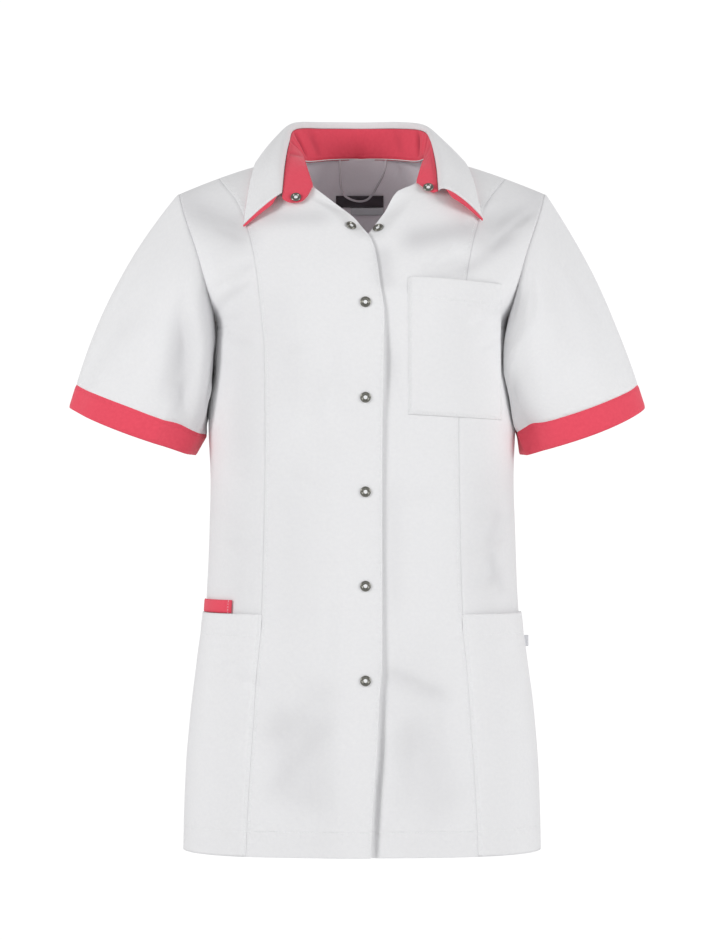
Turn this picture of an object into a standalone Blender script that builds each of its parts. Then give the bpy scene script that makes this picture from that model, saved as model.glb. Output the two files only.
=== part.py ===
"""A women's short-sleeved medical jacket, filled out as when worn: white cloth panels with a coral collar
stand, under collar, cuff bands and pocket loop, closed by ring snaps.

Metres, +Z up. The front faces -Y and the wearer's left is at +X. The origin is the middle of the neck hole,
level with the two points where the shoulder seams meet the collar.
"""

import math

import bmesh
import bpy
import numpy as np
from mathutils import Matrix, Vector

# Driving dimensions
BODY_LENGTH = 0.752  # from the shoulder seam at the neck down to the hem
SHOULDER_HALF = 0.199  # centre to the top of the armhole
SHOULDER_DROP = 0.040
SHOULDER_ARCH = 1.4  # 1 is a straight shoulder seam, and more is one that falls faster towards its end
NECK_HALF = 0.068
NECK_BACK = 0.075  # the neck hole, centre to back
STAND_END_RIGHT = (0.0527, -0.0350)  # where the collar stand ends at the front, as x and level
STAND_END_LEFT = (0.0585, -0.0310)
ARMPIT_LEVEL = -0.190
HEM_DEPTH = 0.027
VENT_TOP = -0.712
VENT_GAP = 0.0014
CLOTH = 0.0012  # one layer of cloth with its seam allowance
HEM_CLOTH = 0.0020
PLACKET_CLOTH = 0.0016
CUFF_CLOTH = 0.0022
COLLAR_CLOTH = 0.0010
SEAM_GAP = 0.0004
PLACKET_LIFT = 0.0034  # the right front stands this far over the left one
PLACKET_HALF = 0.0220
PLACKET_FADE = 0.0350  # over which the right front comes down to the body beside the placket
SNAP_FIRST = -0.1625
SNAP_SPACING = 0.1004
SNAP_COUNT = 5
SNAP_X = 0.0037
SNAP_CLEAR = 0.0004
NECK_SNAP_CLEAR = 0.0016
NECK_ROLL = 0.0070  # how far the fronts turn back beside the neck opening
NECK_ROLL_WIDTH = 0.026
NECK_ROLL_TOP = -0.040
NECK_ROLL_FOOT = -0.076
NECK_SNAP = (-0.0119, -0.0800)  # x and level
NECK_STUD = (0.0200, -0.0800)
STAND_SNAP_COLUMN = 1  # of the stand's points, from the wearer's right end

SHOULDER_ROUND = 0.130  # how far below the shoulder seam the chest and the back reach their full depth
NAPE_RISE = 0.057  # the back neck stands this much higher than the shoulder line alone would put it
BOXY = 0.080  # squares the sections a little, in radians
SEAM_ANGLE = math.radians(0.075)  # half a seam gap at a princess seam
EPS = 0.0005

# level, half width, front depth and back depth of the body sections
BODY_SECTIONS = (
    (0.000, 0.2080, 0.094, 0.092),
    (-0.042, 0.2060, 0.100, 0.097),
    (-0.100, 0.2000, 0.110, 0.104),
    (-0.130, 0.1920, 0.117, 0.106),
    (-0.160, 0.1750, 0.122, 0.106),
    (-0.182, 0.1610, 0.124, 0.105),
    (-0.210, 0.1588, 0.124, 0.102),
    (-0.290, 0.1605, 0.119, 0.092),
    (-0.347, 0.1635, 0.115, 0.087),
    (-0.399, 0.1660, 0.113, 0.088),
    (-0.445, 0.1680, 0.113, 0.093),
    (-0.498, 0.1708, 0.115, 0.101),
    (-0.543, 0.1765, 0.117, 0.108),
    (-0.613, 0.1855, 0.120, 0.115),
    (-0.660, 0.1893, 0.122, 0.118),
    (-0.720, 0.1916, 0.123, 0.119),
    (-0.760, 0.1924, 0.123, 0.119),
)

# level and distance from the centre line: princess seam, armhole edge, right front edge, left front edge.
# A front edge past the centre line is negative.
PRINCESS = (
    (0.000, 0.1550),
    (-0.045, 0.1310),
    (-0.080, 0.1205),
    (-0.120, 0.1125),
    (-0.147, 0.1090),
    (-0.182, 0.1055),
    (-0.213, 0.1030),
    (-0.300, 0.1022),
    (-0.400, 0.1035),
    (-0.495, 0.1065),
    (-0.561, 0.1125),
    (-0.607, 0.1155),
    (-0.666, 0.1195),
    (-0.716, 0.1222),
    (-0.760, 0.1240),
)
ARMHOLE = (
    (0.000, SHOULDER_HALF),
    (-0.030, 0.1925),
    (-0.060, 0.1855),
    (-0.095, 0.1775),
    (-0.130, 0.1700),
    (-0.155, 0.1640),
    (-0.175, 0.1585),
    (-0.185, 0.1572),
)
RIGHT_EDGE = (
    (0.000, NECK_HALF),
    (-0.014, 0.0635),
    (STAND_END_RIGHT[1], STAND_END_RIGHT[0]),
    (-0.060, 0.0170),
    (-0.069, 0.0070),
    (-0.090, -0.0074),
    (-0.107, -0.0138),
    (-0.142, -0.0195),
    (-0.177, -0.0239),
    (-0.220, -0.0228),
    (-0.310, -0.0217),
    (-0.545, -0.0216),
    (-0.583, -0.0187),
    (-0.645, -0.0156),
    (-0.687, -0.0124),
    (-0.760, -0.0090),
)
LEFT_EDGE = (
    (0.000, NECK_HALF),
    (-0.014, 0.0635),
    (STAND_END_LEFT[1], STAND_END_LEFT[0]),
    (-0.042, 0.0374),
    (-0.062, 0.0226),
    (-0.083, 0.0085),
    (-0.092, 0.0040),
    (-0.105, -0.0080),
    (-0.130, -0.0150),
    (-0.180, -0.0185),
    (-0.760, -0.0190),
)

# The rows of every body panel: close together over the shoulder and round the armhole
UPPER_LEVELS = (
    0.0, -0.0015, -0.005, -0.011, -0.019, -0.028, -0.038, -0.050, -0.062, -0.075, -0.090,
    -0.107, -0.125, -0.143, -0.159, -0.172, -0.182, ARMPIT_LEVEL,
)
LOWER_STEP = 0.0285
CENTRE_SPANS = 8
SIDE_SPANS = 7
BACK_SPANS = 24

# Largest folds of the body: side (-1 right, 1 left), front 1 or back -1, ends as x and z, depth, half width
BODY_FOLDS = (
    (1, 1, 0.128, -0.084, 0.188, -0.046, 0.0022, 0.009),
    (1, 1, 0.120, -0.100, 0.160, -0.068, 0.0016, 0.008),
    (1, 1, 0.060, -0.128, 0.112, -0.108, 0.0014, 0.008),
    (-1, 1, 0.030, -0.190, 0.026, -0.300, 0.0016, 0.010),
    (-1, 1, 0.110, -0.150, 0.152, -0.172, 0.0018, 0.009),
    (-1, 1, 0.052, -0.590, 0.046, -0.735, 0.0030, 0.018),
    (1, 1, 0.056, -0.580, 0.048, -0.735, 0.0030, 0.018),
    (1, 1, 0.104, -0.440, 0.160, -0.400, 0.0022, 0.011),
    (-1, 1, 0.120, -0.400, 0.162, -0.365, 0.0020, 0.011),
    (-1, 1, 0.126, -0.545, 0.170, -0.600, 0.0018, 0.012),
    (1, 1, 0.124, -0.560, 0.172, -0.540, 0.0018, 0.012),
    (-1, -1, 0.060, -0.330, 0.150, -0.380, 0.0026, 0.012),
    (1, -1, 0.040, -0.350, 0.140, -0.330, 0.0026, 0.012),
    (-1, -1, 0.070, -0.560, 0.080, -0.735, 0.0030, 0.020),
    (1, -1, 0.090, -0.540, 0.084, -0.735, 0.0030, 0.020),
    (-1, -1, 0.110, -0.110, 0.165, -0.160, 0.0022, 0.011),
    (1, -1, 0.112, -0.120, 0.160, -0.150, 0.0022, 0.011),
)

# The cuff band's upper and lower ring by side: distance from the centre line, y, z and half width
CUFF_RINGS = {
    -1: ((0.2402, -0.006, -0.2755, 0.0750), (0.2496, -0.007, -0.2973, 0.0724)),
    1: ((0.2310, -0.006, -0.2747, 0.0732), (0.2399, -0.007, -0.2970, 0.0715)),
}
CUFF_TILT = math.radians(21.0)
CUFF_DEPTH_SHARE = 0.86  # front to back, against side to side
# The front of the cuff hangs this much lower than its sides: upper and lower ring, by side
CUFF_SAG = {-1: (0.0040, 0.0052), 1: (0.0046, 0.0088)}
SLEEVE_BULGE = 0.022  # how far the middle of the sleeve swells to front and back
SLEEVE_UP = {-1: 0.0135, 1: 0.0185}  # and up, by side
SLEEVE_OUT = {-1: 0.0200, 1: 0.0085}  # and outward, by side
SLEEVE_IN = {-1: -0.0030, 1: 0.0010}  # the same on the side towards the body
TRUNK_HUG = 0.0070  # behind the arm the sleeve reaches in behind the side of the body
HUG_ANGLE = math.radians(222)
HUG_WIDTH = math.radians(34)
CUFF_HUG = 0.35  # of that, at the cuff
SIDE_CLEAR = 0.0038  # the least distance between the hanging sleeve and the side of the body
SLEEVE_SPANS = 9
SLEEVE_START_GAP = 0.0006
UNDERARM_CLEAR = 0.0014  # the sleeve stands this much further out from the side under the arm
BAND_GAP = 0.0014

# side, angle round the sleeve (0 outer, 90 front, 180 inner), start and end along it, drift of the angle,
# depth and half width in radians
SLEEVE_FOLDS = (
    (-1, 118, 0.42, 1.00, 6, 0.0070, 0.20),
    (-1, 52, 0.35, 1.00, -22, 0.0034, 0.24),
    (-1, 150, 0.10, 0.55, 10, 0.0030, 0.20),
    (1, 60, 0.10, 0.80, 16, 0.0026, 0.26),
    (1, 122, 0.45, 1.00, 8, 0.0062, 0.24),
    (1, 90, 0.02, 0.40, 22, 0.0024, 0.22),
    (-1, 250, 0.30, 1.00, 8, 0.0044, 0.24),
    (1, 244, 0.25, 1.00, -8, 0.0044, 0.24),
    (-1, 300, 0.20, 0.80, -12, 0.0026, 0.24),
    (1, 305, 0.30, 0.90, 12, 0.0026, 0.24),
)

# The collar on the wearer's right (-1) and left (1), from beside the centre back to the front end: where it
# is sewn on as x and level (the level of the back neck follows from x), the top of the stand, the way the
# fold rolls from there, and the outer edge of the fall as x, level and front 1 or back -1
COLLAR_BACK = ((0.0000, None), (0.0000, 0.0800, 0.0375), (0.0000, 0.0010, 0.0160), (0.0000, -0.0600, -1))
COLLAR_STATIONS = {
    -1: (
        ((0.0380, None), (0.0400, 0.0700, 0.0370), (0.0008, 0.0008, 0.0158), (0.0530, -0.0450, -1)),
        ((0.0600, None), (0.0725, 0.0430, 0.0340), (0.0016, 0.0004, 0.0155), (0.0980, -0.0120, -1)),
        ((0.0680, 0.0000), (0.0790, 0.0040, 0.0165), (0.0028, -0.0010, 0.0125), (0.1130, -0.0006, 1)),
        ((0.0635, -0.0140), (0.0828, -0.0385, -0.0105), (0.0030, -0.0060, 0.0080), (0.1195, -0.0200, 1)),
        (STAND_END_RIGHT, (0.0852, -0.0770, -0.0440), (0.0010, -0.0070, 0.0020), (0.1255, -0.0720, 1)),
    ),
    1: (
        ((0.0380, None), (0.0385, 0.0700, 0.0370), (0.0006, 0.0008, 0.0158), (0.0510, -0.0450, -1)),
        ((0.0600, None), (0.0655, 0.0430, 0.0325), (0.0008, 0.0004, 0.0145), (0.0900, -0.0140, -1)),
        ((0.0680, 0.0000), (0.0742, 0.0040, 0.0190), (0.0012, -0.0010, 0.0085), (0.1080, -0.0006, 1)),
        ((0.0635, -0.0140), (0.0795, -0.0385, -0.0100), (0.0020, -0.0060, 0.0070), (0.1185, -0.0180, 1)),
        (STAND_END_LEFT, (0.0815, -0.0750, -0.0405), (0.0030, -0.0090, 0.0065), (0.1275, -0.0620, 1)),
    ),
}
# The rounded tab at the front end of the stand: lower and upper edge as x, level and height over the front
STAND_TAB = {
    -1: (
        ((0.0562, -0.0450, 0.0034), (0.0835, -0.0520, 0.0068)),
        ((0.0625, -0.0535, 0.0042), (0.0775, -0.0560, 0.0058)),
    ),
    1: (
        ((0.0610, -0.0350, 0.0034), (0.0800, -0.0440, 0.0066)),
        ((0.0655, -0.0390, 0.0040), (0.0755, -0.0455, 0.0054)),
    ),
}
STAND_CLEAR = 0.0030
FALL_CLEAR = 0.0044
ROLL_WIDTH = 0.0060  # the fold's reach outward, before the fall turns down
COLLAR_SPANS = 4  # between two stations
FALL_SPANS = 7
UNDER_FROM = 4  # the under collar starts at this span of the fall

CHEST_POCKET = {"inner": 0.0488, "outer": 0.1495, "top": -0.1355, "bottom": -0.2815, "tilt": -0.0055}
SIDE_POCKET_TOP = -0.4945
SIDE_POCKET_END = math.radians(89.4)
POCKET_CLEAR = 0.0016
MOUTH_BULGE = 0.0030  # how far a pocket's mouth stands open
LOOP_TAB = {"inner": math.radians(50), "outer": math.radians(80), "top": -0.4795, "bottom": -0.4938}
SIDE_LABEL = {"z": -0.526, "height": 0.012, "reach": 0.0065, "thick": 0.0010, "clear": 0.0014}
NECK_LABEL = {"left": -0.0290, "right": 0.0240, "top": -0.0800, "bottom": -0.0895}
SIZE_LABEL = {"left": -0.0120, "right": 0.0240, "top": -0.0900, "bottom": -0.0955}
LABEL_CLEAR = 0.0006
LABEL_CLOTH = 0.0010
HANGER_WIDTH = 0.0024
HANGER_CLOTH = 0.0010
HANGER_Y = 0.0655
HANGER_PATH = (
    (-0.0245, 0.0020), (-0.0240, -0.0130), (-0.0232, -0.0260), (-0.0205, -0.0350), (-0.0140, -0.0405),
    (-0.0040, -0.0435), (0.0050, -0.0420), (0.0115, -0.0360), (0.0170, -0.0265), (0.0225, -0.0160),
    (0.0258, -0.0060), (0.0265, 0.0020),
)
# radius and height of a snap's ring cap, from the rim in to the middle
SNAP_PROFILE = (
    (0.0056, 0.0000), (0.0056, 0.0007), (0.0049, 0.0015), (0.0040, 0.0016), (0.0032, 0.0010),
    (0.0026, 0.0005), (0.0020, 0.0009), (0.0010, 0.0012), (0.0000, 0.0013),
)
SNAP_STEPS = 10

MATERIALS = {
    "white_cloth": ((0.80, 0.82, 0.84), 0.85, 0.0),
    "coral_cloth": ((0.80, 0.07, 0.11), 0.85, 0.0),
    "label": ((0.07, 0.06, 0.065), 0.60, 0.0),
    "steel": ((0.30, 0.30, 0.28), 0.30, 1.0),
}


def material_named(name):
    """The finish of that name, made once."""
    made = bpy.data.materials.get(name)
    if made:
        return made
    colour, roughness, metallic = MATERIALS[name]
    made = bpy.data.materials.new(name)
    made.use_nodes = True
    shader = made.node_tree.nodes["Principled BSDF"]
    shader.inputs["Base Color"].default_value = (*colour, 1.0)
    shader.inputs["Roughness"].default_value = roughness
    shader.inputs["Metallic"].default_value = metallic
    made.diffuse_color = (*colour, 1.0)
    return made


def smooth_step(value):
    """0 below 0, 1 above 1, and an S curve between."""
    value = min(1.0, max(0.0, value))
    return value * value * (3.0 - 2.0 * value)


def smooth_read(table, level, column=1):
    """A column of a table read at a level, on a curve through its rows (monotone cubic)."""
    rows = [(-row[0], row[column]) for row in table]
    at = -level
    if at <= rows[0][0]:
        return rows[0][1]
    if at >= rows[-1][0]:
        return rows[-1][1]
    slopes = [(b[1] - a[1]) / (b[0] - a[0]) for a, b in zip(rows, rows[1:])]
    index = max(i for i in range(len(slopes)) if rows[i][0] <= at)

    def tangent(i):
        if i == 0 or i == len(slopes):
            return slopes[min(i, len(slopes) - 1)]
        before, after = slopes[i - 1], slopes[i]
        if before * after <= 0:
            return 0.0
        return 2.0 * before * after / (before + after)

    (start, first), (end, last) = rows[index], rows[index + 1]
    span = end - start
    t = (at - start) / span
    return (
        (2 * t**3 - 3 * t**2 + 1) * first
        + (t**3 - 2 * t**2 + t) * span * tangent(index)
        + (3 * t**2 - 2 * t**3) * last
        + (t**3 - t**2) * span * tangent(index + 1)
    )


def shoulder_height(x):
    """Height of the shoulder seam at that distance from the centre line."""
    along = (abs(x) - NECK_HALF) / (SHOULDER_HALF - NECK_HALF)
    return -SHOULDER_DROP * max(0.0, along) ** SHOULDER_ARCH


def fold_depth(x, z, facing):
    """How far the cloth is pushed in by the folds that pass this point."""
    depth = 0.0
    for side, on, x1, z1, x2, z2, most, half_width in BODY_FOLDS:
        if on != facing or side * x < 0:
            continue
        run = np.array((x2 - x1, z2 - z1))
        to_point = np.array((abs(x) - x1, z - z1))
        length = float(np.hypot(*run))
        along = float(to_point @ run) / length**2
        across = abs(float(run[0] * to_point[1] - run[1] * to_point[0])) / length
        ends = smooth_step(along / 0.3) * smooth_step((1.0 - along) / 0.3)
        depth += most * ends * math.exp(-((across / half_width) ** 2))
    return depth


def body_point(angle, level):
    """A point of the body's surface. The angle runs from the centre front (0) over the wearer's left side
    (90 degrees) to the centre back, and the level down from the shoulder seam (0)."""
    half_width = smooth_read(BODY_SECTIONS, level, 1)
    facing = 1 if math.cos(angle) >= 0 else -1
    depth = smooth_read(BODY_SECTIONS, level, 2 if facing > 0 else 3)
    turn = BOXY * math.sin(2 * angle)
    x = half_width * math.sin(angle + turn)
    follow = 1.0 - smooth_step(-level / 0.16)
    shoulder = shoulder_height(x)
    z = level + follow * shoulder
    below = min(1.0, max(0.0, (shoulder - z) / SHOULDER_ROUND))
    rounding = math.sqrt(1.0 - (1.0 - below) ** 2)
    y = -facing * SEAM_GAP / 2 - depth * math.cos(angle - turn) * rounding
    if facing > 0:
        fullness = math.exp(-(((abs(x) - 0.082) / 0.045) ** 2) - ((z + 0.185) / 0.055) ** 2)
        y -= 0.006 * fullness
    else:
        rise = smooth_step(-level / 0.055) * (1.0 - smooth_step((-level - 0.055) / 0.16))
        z += NAPE_RISE * rise * math.exp(-((x / 0.085) ** 2))
    y += facing * fold_depth(x, z, facing)
    return np.array((x, y, z))


def body_normal(angle, level):
    """The outward direction at a point of the body's surface."""
    top = min(0.0, level + EPS)
    down = body_point(angle, level - EPS) - body_point(angle, top)
    side_seam = math.pi / 2
    turn = EPS * 4
    first, last = angle - turn, angle + turn
    if abs(angle) < side_seam:
        last = min(last, side_seam - 1e-6)
        first = max(first, -side_seam + 1e-6)
    across = body_point(last, level) - body_point(first, level)
    normal = np.cross(down, across)
    return normal / np.linalg.norm(normal)


def angle_at(x, level, facing=1):
    """The angle of the surface point at that distance from the centre line."""
    half_width = smooth_read(BODY_SECTIONS, level, 1)
    share = min(0.9999, abs(x) / half_width)
    low, high = 0.0, math.pi / 2
    for _ in range(40):
        middle = (low + high) / 2
        if math.sin(middle + BOXY * math.sin(2 * middle)) < share:
            low = middle
        else:
            high = middle
    angle = math.copysign(low, x)
    return angle if facing > 0 else math.copysign(math.pi, x) - angle


def panel_levels():
    """The rows of the body panels, from the shoulder to the hem."""
    hem_top = -BODY_LENGTH + HEM_DEPTH
    count = round((ARMPIT_LEVEL - hem_top) / LOWER_STEP)
    lower = [ARMPIT_LEVEL + (hem_top - ARMPIT_LEVEL) * (i + 1) / count for i in range(count)]
    return list(UPPER_LEVELS) + lower + [-BODY_LENGTH]


def armhole_angle(level):
    """The angle of the armhole edge, or of the side seam below it."""
    if level <= ARMPIT_LEVEL + 1e-9:
        return math.pi / 2
    return min(angle_at(smooth_read(ARMHOLE, level), level), math.pi / 2)


def vent(level):
    """Half the width of the slit that parts front and back at the foot of the side seam."""
    return VENT_GAP * smooth_step((VENT_TOP - level) / 0.03)


def side_end(level):
    """The angle where a front's side panel ends."""
    end = armhole_angle(level)
    return end - math.asin(vent(level) / 0.12)


def cloth_object(name, outer, normals, depths, material, closed=False):
    """A wall of cloth: outer points in rows, and the inner points that deep behind them."""
    outer = np.asarray(outer, float)
    depths = np.broadcast_to(np.asarray(depths, float), outer.shape[:2])
    inner = outer - np.asarray(normals) * depths[..., None]
    rows, columns = outer.shape[:2]
    mesh = bmesh.new()
    skins = [[[mesh.verts.new(p) for p in row] for row in skin] for skin in (outer, inner)]
    spans = columns if closed else columns - 1
    for skin in skins:
        for r in range(rows - 1):
            for c in range(spans):
                d = (c + 1) % columns
                mesh.faces.new((skin[r][c], skin[r][d], skin[r + 1][d], skin[r + 1][c]))
    front, behind = skins
    for r in (0, rows - 1):
        for c in range(spans):
            d = (c + 1) % columns
            mesh.faces.new((front[r][c], front[r][d], behind[r][d], behind[r][c]))
    if not closed:
        for c in (0, columns - 1):
            for r in range(rows - 1):
                mesh.faces.new((front[r][c], front[r + 1][c], behind[r + 1][c], behind[r][c]))
    bmesh.ops.recalc_face_normals(mesh, faces=mesh.faces)
    return finish_mesh(name, mesh, material)


def finish_mesh(name, mesh, material):
    """The bmesh as a named, smooth shaded object."""
    data = bpy.data.meshes.new(name)
    mesh.to_mesh(data)
    mesh.free()
    data.materials.append(material_named(material))
    data.shade_smooth()
    data.set_sharp_from_angle(angle=math.radians(40))
    made = bpy.data.objects.new(name, data)
    bpy.context.scene.collection.objects.link(made)
    return made


def wall_depth(level):
    """The cloth is doubled at the hem."""
    return HEM_CLOTH if level < -BODY_LENGTH + HEM_DEPTH / 2 else CLOTH


def neck_roll(x, level, edge):
    """How far a front turns back towards the neck opening, beside its edge."""
    beside = 1.0 - smooth_step(abs(x - edge) / NECK_ROLL_WIDTH)
    below = smooth_step((NECK_ROLL_TOP - level) / 0.02)
    above = 1.0 - smooth_step((NECK_ROLL_FOOT - level) / 0.022)
    return NECK_ROLL * beside * below * above


def front_rise(side, x, level):
    """How far a centre front stands over the body's surface at a distance from the centre line on its own
    side: the right one lies over the left one, and both turn back beside the neck opening."""
    table = RIGHT_EDGE if side < 0 else LEFT_EDGE
    rise = -neck_roll(x, level, smooth_read(table, level))
    if side < 0:
        near_centre = 1.0 - smooth_step((x - PLACKET_HALF) / PLACKET_FADE)
        rise += PLACKET_LIFT * near_centre * smooth_step((STAND_END_RIGHT[1] - level) / 0.03)
    return rise


def centre_front(name, side, edge_table, spans):
    """A centre front: from its edge at the closure to the princess seam."""
    rows, normals, depths = [], [], []
    for level in panel_levels():
        edge = smooth_read(edge_table, level)
        first = side * angle_at(edge, level) if edge > 0 else -side * angle_at(-edge, level)
        last = side * (angle_at(smooth_read(PRINCESS, level), level) - SEAM_ANGLE)
        row, row_normals, row_depths = [], [], []
        for c in range(spans + 1):
            share = c / spans
            angle = first + (last - first) * share
            normal = body_normal(angle, level)
            point = body_point(angle, level)
            row.append(point + normal * front_rise(side, side * point[0], level))
            row_normals.append(normal)
            beside_edge = side * point[0] < PLACKET_HALF
            row_depths.append(max(wall_depth(level), PLACKET_CLOTH if beside_edge else 0.0))
        rows.append(row)
        normals.append(row_normals)
        depths.append(row_depths)
    return cloth_object(name, rows, normals, depths, "white_cloth")


def side_front(name, side, spans):
    """A side front: from the princess seam to the armhole and the side seam."""
    rows, normals, depths = [], [], []
    for level in panel_levels():
        first = side * (angle_at(smooth_read(PRINCESS, level), level) + SEAM_ANGLE)
        last = side * side_end(level)
        angles = [first + (last - first) * c / spans for c in range(spans + 1)]
        rows.append([body_point(angle, level) for angle in angles])
        normals.append([body_normal(angle, level) for angle in angles])
        depths.append([wall_depth(level)] * len(angles))
    return cloth_object(name, rows, normals, depths, "white_cloth")


def neck_back_y(x):
    """How far behind the origin the neck hole reaches at that distance from the centre line."""
    return NECK_BACK * math.sqrt(max(0.0, 1.0 - (x / NECK_HALF) ** 2))


def neck_back_level(x):
    """The level of the back neck edge, where the surface is as far back as the neck hole."""
    low, high = -0.12, 0.0
    target = neck_back_y(x)
    for _ in range(40):
        middle = (low + high) / 2
        if body_point(angle_at(x, middle, -1), middle)[1] > target:
            low = middle
        else:
            high = middle
    return low


def clear_scene():
    """An empty scene to build in."""
    for found in list(bpy.data.objects):
        bpy.data.objects.remove(found)


def back_angle(share, level):
    """The angle of a column of the back, from the wearer's left (-1) to the right (1)."""
    reach = armhole_angle(level)
    end = reach - math.asin(vent(level) / 0.12)
    return math.pi - share * end


def back_panel(spans):
    """The back, from side seam to side seam, with the neck curve and the shoulders at its top."""
    rows, normals, depths = [], [], []
    for level in panel_levels():
        row, row_normals = [], []
        for c in range(spans + 1):
            angle = back_angle(2.0 * c / spans - 1.0, level)
            x = body_point(angle, level)[0]
            at = level
            if abs(x) < NECK_HALF:
                at = level + neck_back_level(x) * (1.0 - smooth_step(-level / 0.15))
                angle = angle_at(x, at, -1)
            row.append(body_point(angle, at))
            row_normals.append(body_normal(angle, at))
        rows.append(row)
        normals.append(row_normals)
        depths.append([wall_depth(level)] * (spans + 1))
    return cloth_object("back", rows, normals, depths, "white_cloth")


def armhole_ring(side):
    """The armhole edge, from the shoulder seam down the front and up the back."""
    front = [body_point(side * armhole_angle(level), level) for level in UPPER_LEVELS]
    behind = [
        body_point(side * (math.pi - armhole_angle(level)), level) for level in reversed(UPPER_LEVELS[1:-1])
    ]
    return front, behind


def ring_angles(front, behind):
    """The angle round the sleeve of each armhole point, in step with the distance along the edge."""
    angles = []
    for points, end in ((front, behind[0]), ([front[-1]] + behind, front[0])):
        path = list(points) + ([end] if points is not front else [])
        steps = [float(np.linalg.norm(b - a)) for a, b in zip(path, path[1:])]
        total = sum(steps)
        run = np.concatenate(([0.0], np.cumsum(steps))) / total
        angles.append(run * math.pi)
    return list(angles[0]) + list(math.pi + angles[1][1:-1])


def hug(angle):
    """1 where the sleeve reaches in behind the side of the body, and 0 elsewhere."""
    turn = (angle - HUG_ANGLE + math.pi) % (2 * math.pi) - math.pi
    return math.exp(-((turn / HUG_WIDTH) ** 2))


def off_body(side, point, clear):
    """The point, moved outward where it is less than that far from the side of the body below the armpit."""
    x, y, z = point
    if z > ARMPIT_LEVEL:
        return point
    depth = smooth_read(BODY_SECTIONS, z, 2 if y < 0 else 3)
    plain = math.acos(min(1.0, abs(y) / depth))
    angle = plain
    for _ in range(8):
        angle = plain + BOXY * math.sin(2 * angle)
    wall = smooth_read(BODY_SECTIONS, z, 1) * math.sin(angle + BOXY * math.sin(2 * angle))
    return np.array((side * max(side * x, wall + clear), y, z))


def cuff_ring_point(side, angle, ring):
    """A point of a ring at the sleeve's end; angle 0 is its outer side and 90 degrees its front."""
    centre_x, centre_y, centre_z, half = CUFF_RINGS[side][ring]
    out = half * math.cos(angle)
    x = centre_x + out * math.cos(CUFF_TILT) - TRUNK_HUG * CUFF_HUG * hug(angle)
    y = centre_y - half * CUFF_DEPTH_SHARE * math.sin(angle)
    z = centre_z + out * math.sin(CUFF_TILT) - CUFF_SAG[side][ring] * math.sin(angle)
    return off_body(side, (side * x, y, z), SIDE_CLEAR)


def sleeve_fold(side, angle, along):
    """How deep the folds press the sleeve in at that place."""
    depth = 0.0
    for on, at, start, end, drift, most, half_width in SLEEVE_FOLDS:
        if on != side:
            continue
        share = (along - start) / (end - start)
        middle = math.radians(at + drift * share)
        turn = (angle - middle + math.pi) % (2 * math.pi) - math.pi
        open_end = 1.0 if end >= 1.0 else smooth_step((1.0 - share) / 0.3)
        depth += most * smooth_step(share / 0.4) * open_end * math.exp(-((turn / half_width) ** 2))
    return depth


def ring_normals(rows, side):
    """Outward directions of a tube of rings, from the steps round and along it."""
    rows = np.asarray(rows)
    around = np.roll(rows, -1, axis=1) - np.roll(rows, 1, axis=1)
    along = np.gradient(rows, axis=0)
    normals = np.cross(around, along) * side
    return normals / np.linalg.norm(normals, axis=2, keepdims=True)


def sleeve(side, name):
    """A set-in sleeve: from the armhole edge to the seam of the cuff band, with its folds."""
    front, behind = armhole_ring(side)
    angles = ring_angles(front, behind)
    starts = front + behind
    rows = []
    for r in range(SLEEVE_SPANS + 1):
        along = r / SLEEVE_SPANS
        row = []
        for start, angle in zip(starts, angles):
            end = cuff_ring_point(side, angle, 0)
            outer = (1.0 + math.cos(angle)) / 2
            aside = SLEEVE_OUT[side] * outer + SLEEVE_IN[side] * (1.0 - outer) - 2 * TRUNK_HUG * hug(angle)
            bulge = (side * aside, -SLEEVE_BULGE * math.sin(angle), SLEEVE_UP[side] * math.cos(angle))
            bend = (start + end) / 2 + np.array(bulge)
            leave = (bend - start) / np.linalg.norm(bend - start)
            gap = SEAM_GAP + UNDERARM_CLEAR * (1.0 - outer)
            clear = start + leave * SLEEVE_START_GAP + np.array((side * gap, 0.0, 0.0))
            point = (1 - along) ** 2 * clear + 2 * along * (1 - along) * bend + along**2 * end
            grow = smooth_step(along * 6)
            row.append(off_body(side, point, UNDERARM_CLEAR + (SIDE_CLEAR - UNDERARM_CLEAR) * grow))
        rows.append(row)
    rows = np.array(rows)
    normals = ring_normals(rows, side)
    depths = np.array(
        [[sleeve_fold(side, a, r / SLEEVE_SPANS) for a in angles] for r in range(SLEEVE_SPANS + 1)]
    )
    outer = rows - normals * depths[..., None]
    cloth_object("sleeve_" + name, outer, normals, CLOTH, "white_cloth", closed=True)
    band(side, name, angles, depths[-1], outer[-1] - outer[-2])


def band(side, name, angles, depths, steps):
    """The cuff band: it goes on from the sleeve's last ring, a little thicker on both sides."""
    rows = []
    for share in (0.0, 0.5, 1.0):
        row = []
        for angle, step in zip(angles, steps):
            top = cuff_ring_point(side, angle, 0)
            end = cuff_ring_point(side, angle, 1)
            gap = step / np.linalg.norm(step) * BAND_GAP * (1.0 - share)
            row.append(top + (end - top) * share + gap)
        rows.append(row)
    normals = ring_normals(rows, side)
    pressed = np.array(depths)[None, :, None] * np.array((1.0, 0.9, 0.8))[:, None, None]
    outer = np.array(rows) - normals * (pressed - (CUFF_CLOTH - CLOTH) / 2)
    cloth_object("cuff_" + name, outer, normals, CUFF_CLOTH, "coral_cloth", closed=True)


def catmull_rom(points, spans):
    """Points on a smooth curve through the given ones."""
    points = [np.asarray(p, float) for p in points]
    ends = [2 * points[0] - points[1], *points, 2 * points[-1] - points[-2]]
    curve = []
    for a, b, c, d in zip(ends, ends[1:], ends[2:], ends[3:]):
        for i in range(spans):
            t = i / spans
            square, cube = (2 * a - 5 * b + 4 * c - d) * t**2, (3 * b - a - 3 * c + d) * t**3
            curve.append((2 * b + (c - a) * t + square + cube) / 2)
    curve.append(points[-1])
    return np.array(curve)


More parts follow.
